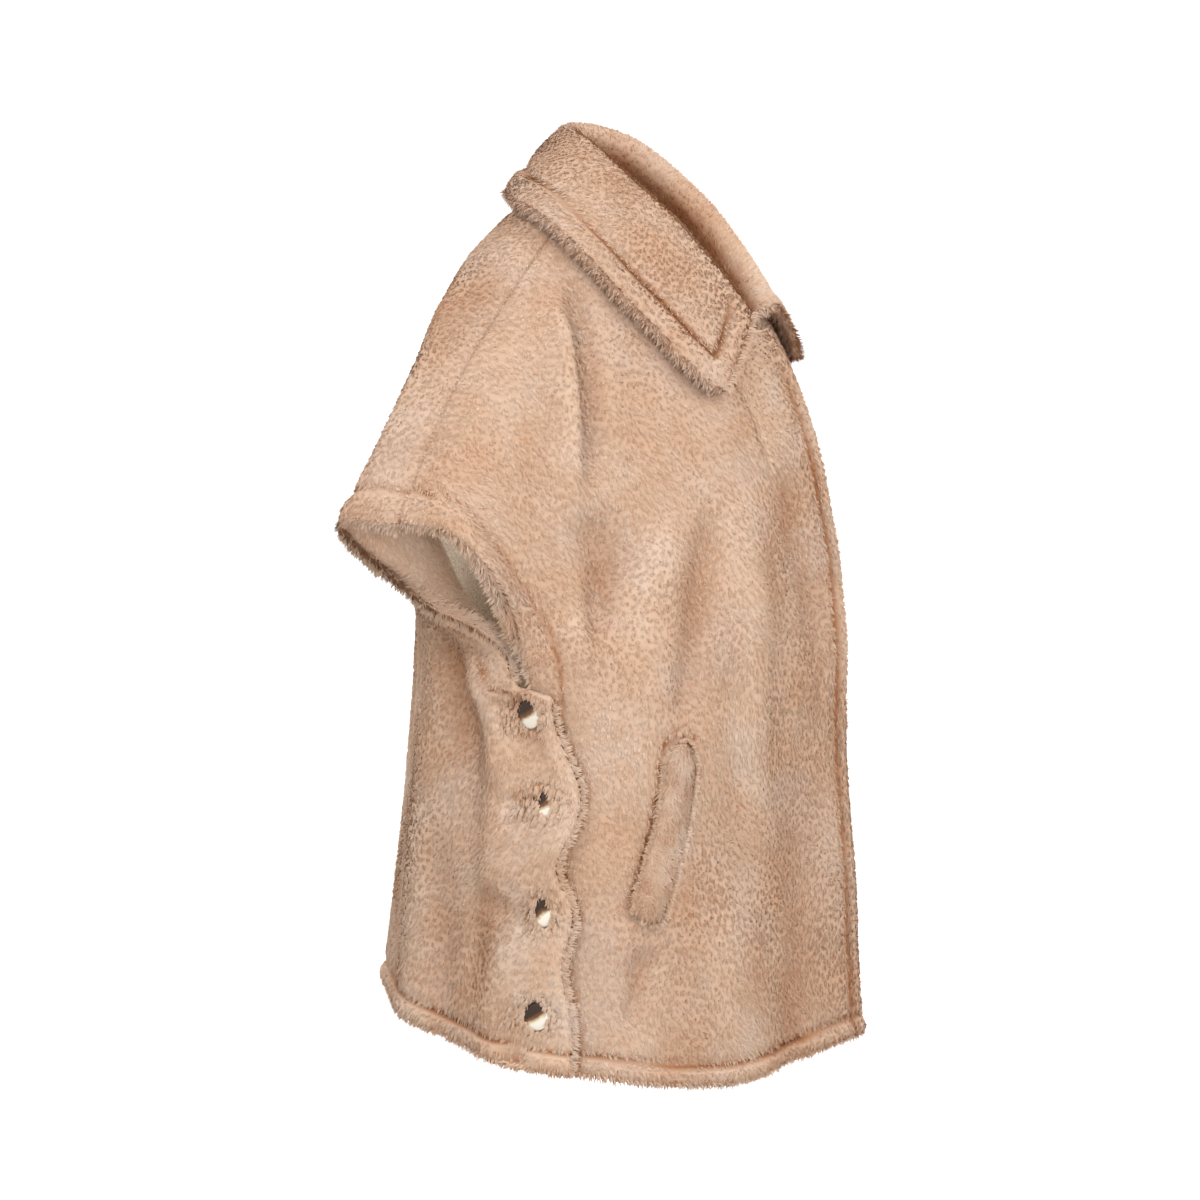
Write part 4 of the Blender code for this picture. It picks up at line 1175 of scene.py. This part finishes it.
# ---------------- collar
def make_collar():
    s = finer_ends(np.linspace(-1, 1, 121))
    fold = np.linspace(.4, .6, 13)
    t = finer_ends(np.concatenate([np.linspace(0, .4, 7), fold[1:], np.linspace(.6, 1, 17)[1:]]))
    ss, tt = np.meshgrid(s, t, indexing="ij")
    # the collar's points are rounded: a corner of the grid becomes a quarter of a disc
    corner_s, corner_t = 0.045, 0.060
    x = np.clip((np.abs(ss) - (1 - corner_s)) / corner_s, 0, 1)
    y = np.clip((tt - (1 - corner_t)) / corner_t, 0, 1)
    sr = np.where(x > 0, np.sign(ss) * (1 - corner_s + corner_s * x * np.sqrt(1 - y * y / 2)), ss)
    tr = np.where(y > 0, 1 - corner_t + corner_t * y * np.sqrt(1 - x * x / 2), tt)
    middle = collar_middle(sr, tr)
    e = 0.004
    ds = collar_middle(np.clip(sr + e, -1, 1), tr) - collar_middle(np.clip(sr - e, -1, 1), tr)
    dt = collar_middle(sr, np.clip(tr + e, 0, 1)) - collar_middle(sr, np.clip(tr - e, 0, 1))
    n = unit(np.cross(dt, ds))
    from_left, from_right, _, from_edge = edge_distance(middle)
    from_end = np.minimum(from_left, from_right)
    fall = smooth((tt - 0.58) / 0.08)
    band = np.minimum(from_edge / COLLAR_STITCH, from_end / COLLAR_END_STITCH)
    puff = np.sin(math.pi * np.clip(band, 0, 1)) ** 0.7 * fall
    relief = BAND_PUFF * puff - 2.4 * MM * bell(band - 1, 0.18) * fall + 0.6 * uneven(middle)
    half_thick = COLLAR / 2 - PILE + 0.8 * MM
    round_off = drawn_in(np.minimum(from_end, from_edge), 6 * MM) * half_thick * 0.9
    outer = middle + n * (half_thick + relief - round_off)[..., None]
    inner = middle - n * (half_thick + 1.2 * MM * puff - round_off)[..., None]
    lines = [(band * COLLAR_STITCH, COLLAR_STITCH, 0.95 * fall)]
    inside = 1 - smooth((tt - 0.26) / 0.25)         # 1 on the stand, which is in its own shade
    dark = GROUND_TONE - 0.5 * shadowed(lines, tt.shape) - 0.4 * inside
    item = shell("cloth_collar", "collar", outer, inner, dark)
    blades = Blades()
    nap, hidden = unit(dt), np.where(tt < 0.5, 1.0, 0.4)        # less pile where the fall hides it
    over, under = BLADES["collar_over"], BLADES["collar_under"]
    pile(blades, outer, grid_normals(outer, n), over, tone=-0.42 * inside, lines=lines, nap=nap)
    pile(blades, inner, grid_normals(inner, -n), under, hidden, nap=nap)
    for side in ("i0", "i1", "j1"):
        edge_fringe(blades, middle, n, side, deep=0, span=4.2 * MM, step=0.12 * MM)
    edge_fringe(blades, middle, n, "j0", deep=0, length=4.0 * MM, step=0.5 * MM)
    return item, blades.mesh("pile_collar")


# ---------------- pocket welts
def make_welt(side, word):
    k = finer_ends(np.linspace(0, 1, 31))
    cu, cw = welt_line(k)
    width = WELT_HALF_WIDTH * np.sqrt(np.clip(1 - np.abs(2 * k - 1) ** 9, 0.03, 1))
    scale_u = np.linalg.norm(base(cu + .01, cw) - base(cu - .01, cw), axis=-1) / .02
    scale_w = np.linalg.norm(base(cu, cw + .01) - base(cu, cw - .01), axis=-1) / .02
    run = unit(np.stack([np.gradient(cu) * scale_u, np.gradient(cw) * scale_w], -1))
    v = np.linspace(-1, 1, 11)
    uu = cu[:, None] + v[None] * (width * -run[:, 1] / scale_u)[:, None]
    ww = cw[:, None] + v[None] * (width * run[:, 0] / scale_w)[:, None]
    ends = np.sqrt(np.clip(1 - np.abs(2 * k[:, None] - 1) ** 10, .02, 1))
    dome = np.sqrt(np.clip(1 - np.abs(v[None]) ** 2.4, 0.02, 1)) * ends
    top = skin(side * uu, ww, -PILE + 0.6 * MM + (WELT_THICK + 1.2 * MM) * dome)
    item = shell("cloth_welt_" + word, "pocket_welt_" + word, top, skin(side * uu, ww, -PILE))
    n = grid_normals(top, normal(side * uu, ww))
    blades = Blades()
    ragged = 0.10 * drift(top, 0.010, 9)
    pile(blades, top, n, BLADES["welt"], tone=ragged, length=PILE_LENGTH * 1.3, ruffle=0.6)
    for edge in ("i0", "i1", "j0", "j1"):
        edge_fringe(blades, top, n, edge, **WELT_RIM)
    return item, blades.mesh("pile_welt_" + word)


# ---------------- buttons
def lathe(profile, axis, centre, segments=40):
    """Points and faces of a turned form: profile rows are (radius, height) in millimetres."""
    a = unit(np.cross(axis, (0, 0, 1) if abs(axis[2]) < 0.9 else (0, 1, 0)))
    b = np.cross(axis, a)
    ring = np.linspace(0, 2 * math.pi, segments, endpoint=False)
    verts, faces, rows = [], [], []
    for radius, height in profile:
        if radius == 0:
            rows.append([len(verts)] * segments)
            verts.append(centre + axis * height * MM)
            continue
        rows.append(list(range(len(verts), len(verts) + segments)))
        for angle in ring:
            around = a * math.cos(angle) + b * math.sin(angle)
            verts.append(centre + around * radius * MM + axis * height * MM)
    for low, high in zip(rows, rows[1:]):
        for k in range(segments):
            j = (k + 1) % segments
            face = [low[k], low[j], high[j], high[k]]
            faces.append([x for x, y in zip(face, face[1:] + face[:1]) if x != y])
    return verts, faces


def make_button(name):
    """A domed horn button with the horn's own clouds, brown above and ivory below: painted shade where the
    pile's lip overhangs it, and a painted highlight below.
    """
    centre, axis = BUTTONS[name]
    verts, faces = lathe(BUTTON_PROFILE, axis, centre)
    mesh = bpy.data.meshes.new("horn_" + name)
    mesh.from_pydata([tuple(v) for v in verts], [], [f[::-1] for f in faces])
    mesh.shade_smooth()
    ahead, up = slot_frame(axis)
    from_middle = np.array(verts) - centre
    set_tone(mesh, BUTTON_TONE[name[-1]] + (from_middle @ (0.55 * ahead - 0.85 * up)) / (14 * MM))
    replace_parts(place("horn_" + name, mesh, HORN, "horn"), name)


# ---------------- stage, light and camera
def make_stage():
    """A pale floor that runs up into a pale backdrop all round."""
    floor_z, radius, bend, wall = -1.15, 9.0, 3.0, 5.5
    profile = [(0.0, floor_z), (radius - bend, floor_z)]
    profile += [(radius - bend + bend * math.sin(a), floor_z + bend - bend * math.cos(a))
                for a in np.linspace(0, math.pi / 2, 12)[1:]]
    profile += [(radius, floor_z + wall)]
    verts, faces = lathe([(r / MM, z / MM) for r, z in profile], np.array([0, 0, 1.0]), np.zeros(3), 72)
    mesh = bpy.data.meshes.new("stage_floor")
    mesh.from_pydata([tuple(v) for v in verts], [], faces)
    mesh.shade_smooth()
    white = new_material("stage_white", Roughness=0.9, Base_Color=(0.5, 0.5, 0.5, 1),
                         Emission_Color=(1, 1, 1, 1), Emission_Strength=1.0)[0]
    mesh.materials.append(white)
    item = link("stage_floor", mesh)
    # the white floor is seen, and doesn't light the cloth from below
    item.visible_diffuse = item.visible_glossy = item.visible_shadow = False


MIDDLE = (0, -0.03, -0.36)
LIGHTS = (      # name, place, where it points, size in metres, watts
    ("key", (-3.0, 0.3, 2.4), MIDDLE, 1.8, 39),
    ("front", (-1.4, -3.2, 1.8), MIDDLE, 2.4, 39),
    ("low", (-3.3, -1.9, 0.0), MIDDLE, 1.6, 46),
    ("inside", (-0.04, -0.01, -0.27), (-0.24, 0.08, -0.31), 0.10, 0.13),        # on the lining
    ("rear", (-0.7, 3.4, 2.3), MIDDLE, 2.6, 34),
    ("left", (2.8, -1.8, 1.6), MIDDLE, 2.4, 45),
)
# a soft sky, bright above and dim below: share of its height and colour
SKY = ((0.0, (0.52, 0.45, 0.40, 1)), (0.5, (0.66, 0.62, 0.59, 1)), (1.0, (0.90, 0.91, 0.94, 1)))
SKY_BOTTOM, SKY_TOP = -0.7, 0.9
CAMERA = dict(azimuth=-72, elevation=9, distance=6.0, aim=(0, 0, -0.36), lens=203.4, shift=-4 / 1200)


def look(item, way):
    item.rotation_euler = Vector(np.array(way).tolist()).to_track_quat("-Z", "Y").to_euler()


def make_world():
    world = bpy.data.worlds.new("studio")
    world.use_nodes = True
    nodes, links = world.node_tree.nodes, world.node_tree.links
    where = nodes.new("ShaderNodeTexCoord")
    parts = nodes.new("ShaderNodeSeparateXYZ")
    height = nodes.new("ShaderNodeMapRange")
    set_inputs(height, From_Min=SKY_BOTTOM, From_Max=SKY_TOP)
    sky = ramp(nodes, SKY)
    links.new(where.outputs["Generated"], parts.inputs["Vector"])
    links.new(parts.outputs["Z"], height.inputs["Value"])
    links.new(height.outputs["Result"], sky.inputs["Fac"])
    links.new(sky.outputs["Color"], nodes["Background"].inputs["Color"])
    set_inputs(nodes["Background"], Strength=1.0)
    bpy.context.scene.world = world


def make_lights():
    for name, where, target, size, watts in LIGHTS:
        data = bpy.data.lights.new(name, "AREA")
        data.shape, data.size, data.energy = "DISK", size, watts
        item = link(name, data)
        item.location = where
        item.visible_camera = False
        look(item, np.array(target) - np.array(where))


def make_camera():
    azimuth, elevation = math.radians(CAMERA["azimuth"]), math.radians(CAMERA["elevation"])
    back = np.array([math.sin(azimuth) * math.cos(elevation), -math.cos(azimuth) * math.cos(elevation),
                     math.sin(elevation)])
    data = bpy.data.cameras.new("camera")
    data.lens, data.shift_x, data.clip_end = CAMERA["lens"], CAMERA["shift"], 60
    item = link("camera", data)
    item.location = np.array(CAMERA["aim"]) + back * CAMERA["distance"]
    look(item, -back)
    bpy.context.scene.camera = item


# ---------------- all of it, with the cloth's flat sizes in metres and areas in square metres
make_stage()
make_world()
make_lights()
make_camera()
bpy.context.scene.view_settings.view_transform = "Standard"
bpy.context.scene.view_settings.look = "None"
for side, word in SIDES:
    cloth, fur = make_front(side, word)
cloth, furs = make_back()
cloth, fur = make_collar()
FACING_CUTS = (((0.27, 0.030), 0.0065), ((0.28, 0.095), 0.0260))       # front and back
LINING_CUTS = (((0.36, 0.68), 0.165), ((0.36, 0.68), 0.165), ((0.62, 0.70), 0.35))
for (cloth, fur), (flat, area) in zip(make_facings(), 2 * FACING_CUTS):
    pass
for cloth, (flat, area) in zip(make_linings(), LINING_CUTS):
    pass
for side, word in SIDES:
    cloth, fur = make_welt(side, word)
for name in BUTTONS:
    make_button(name)
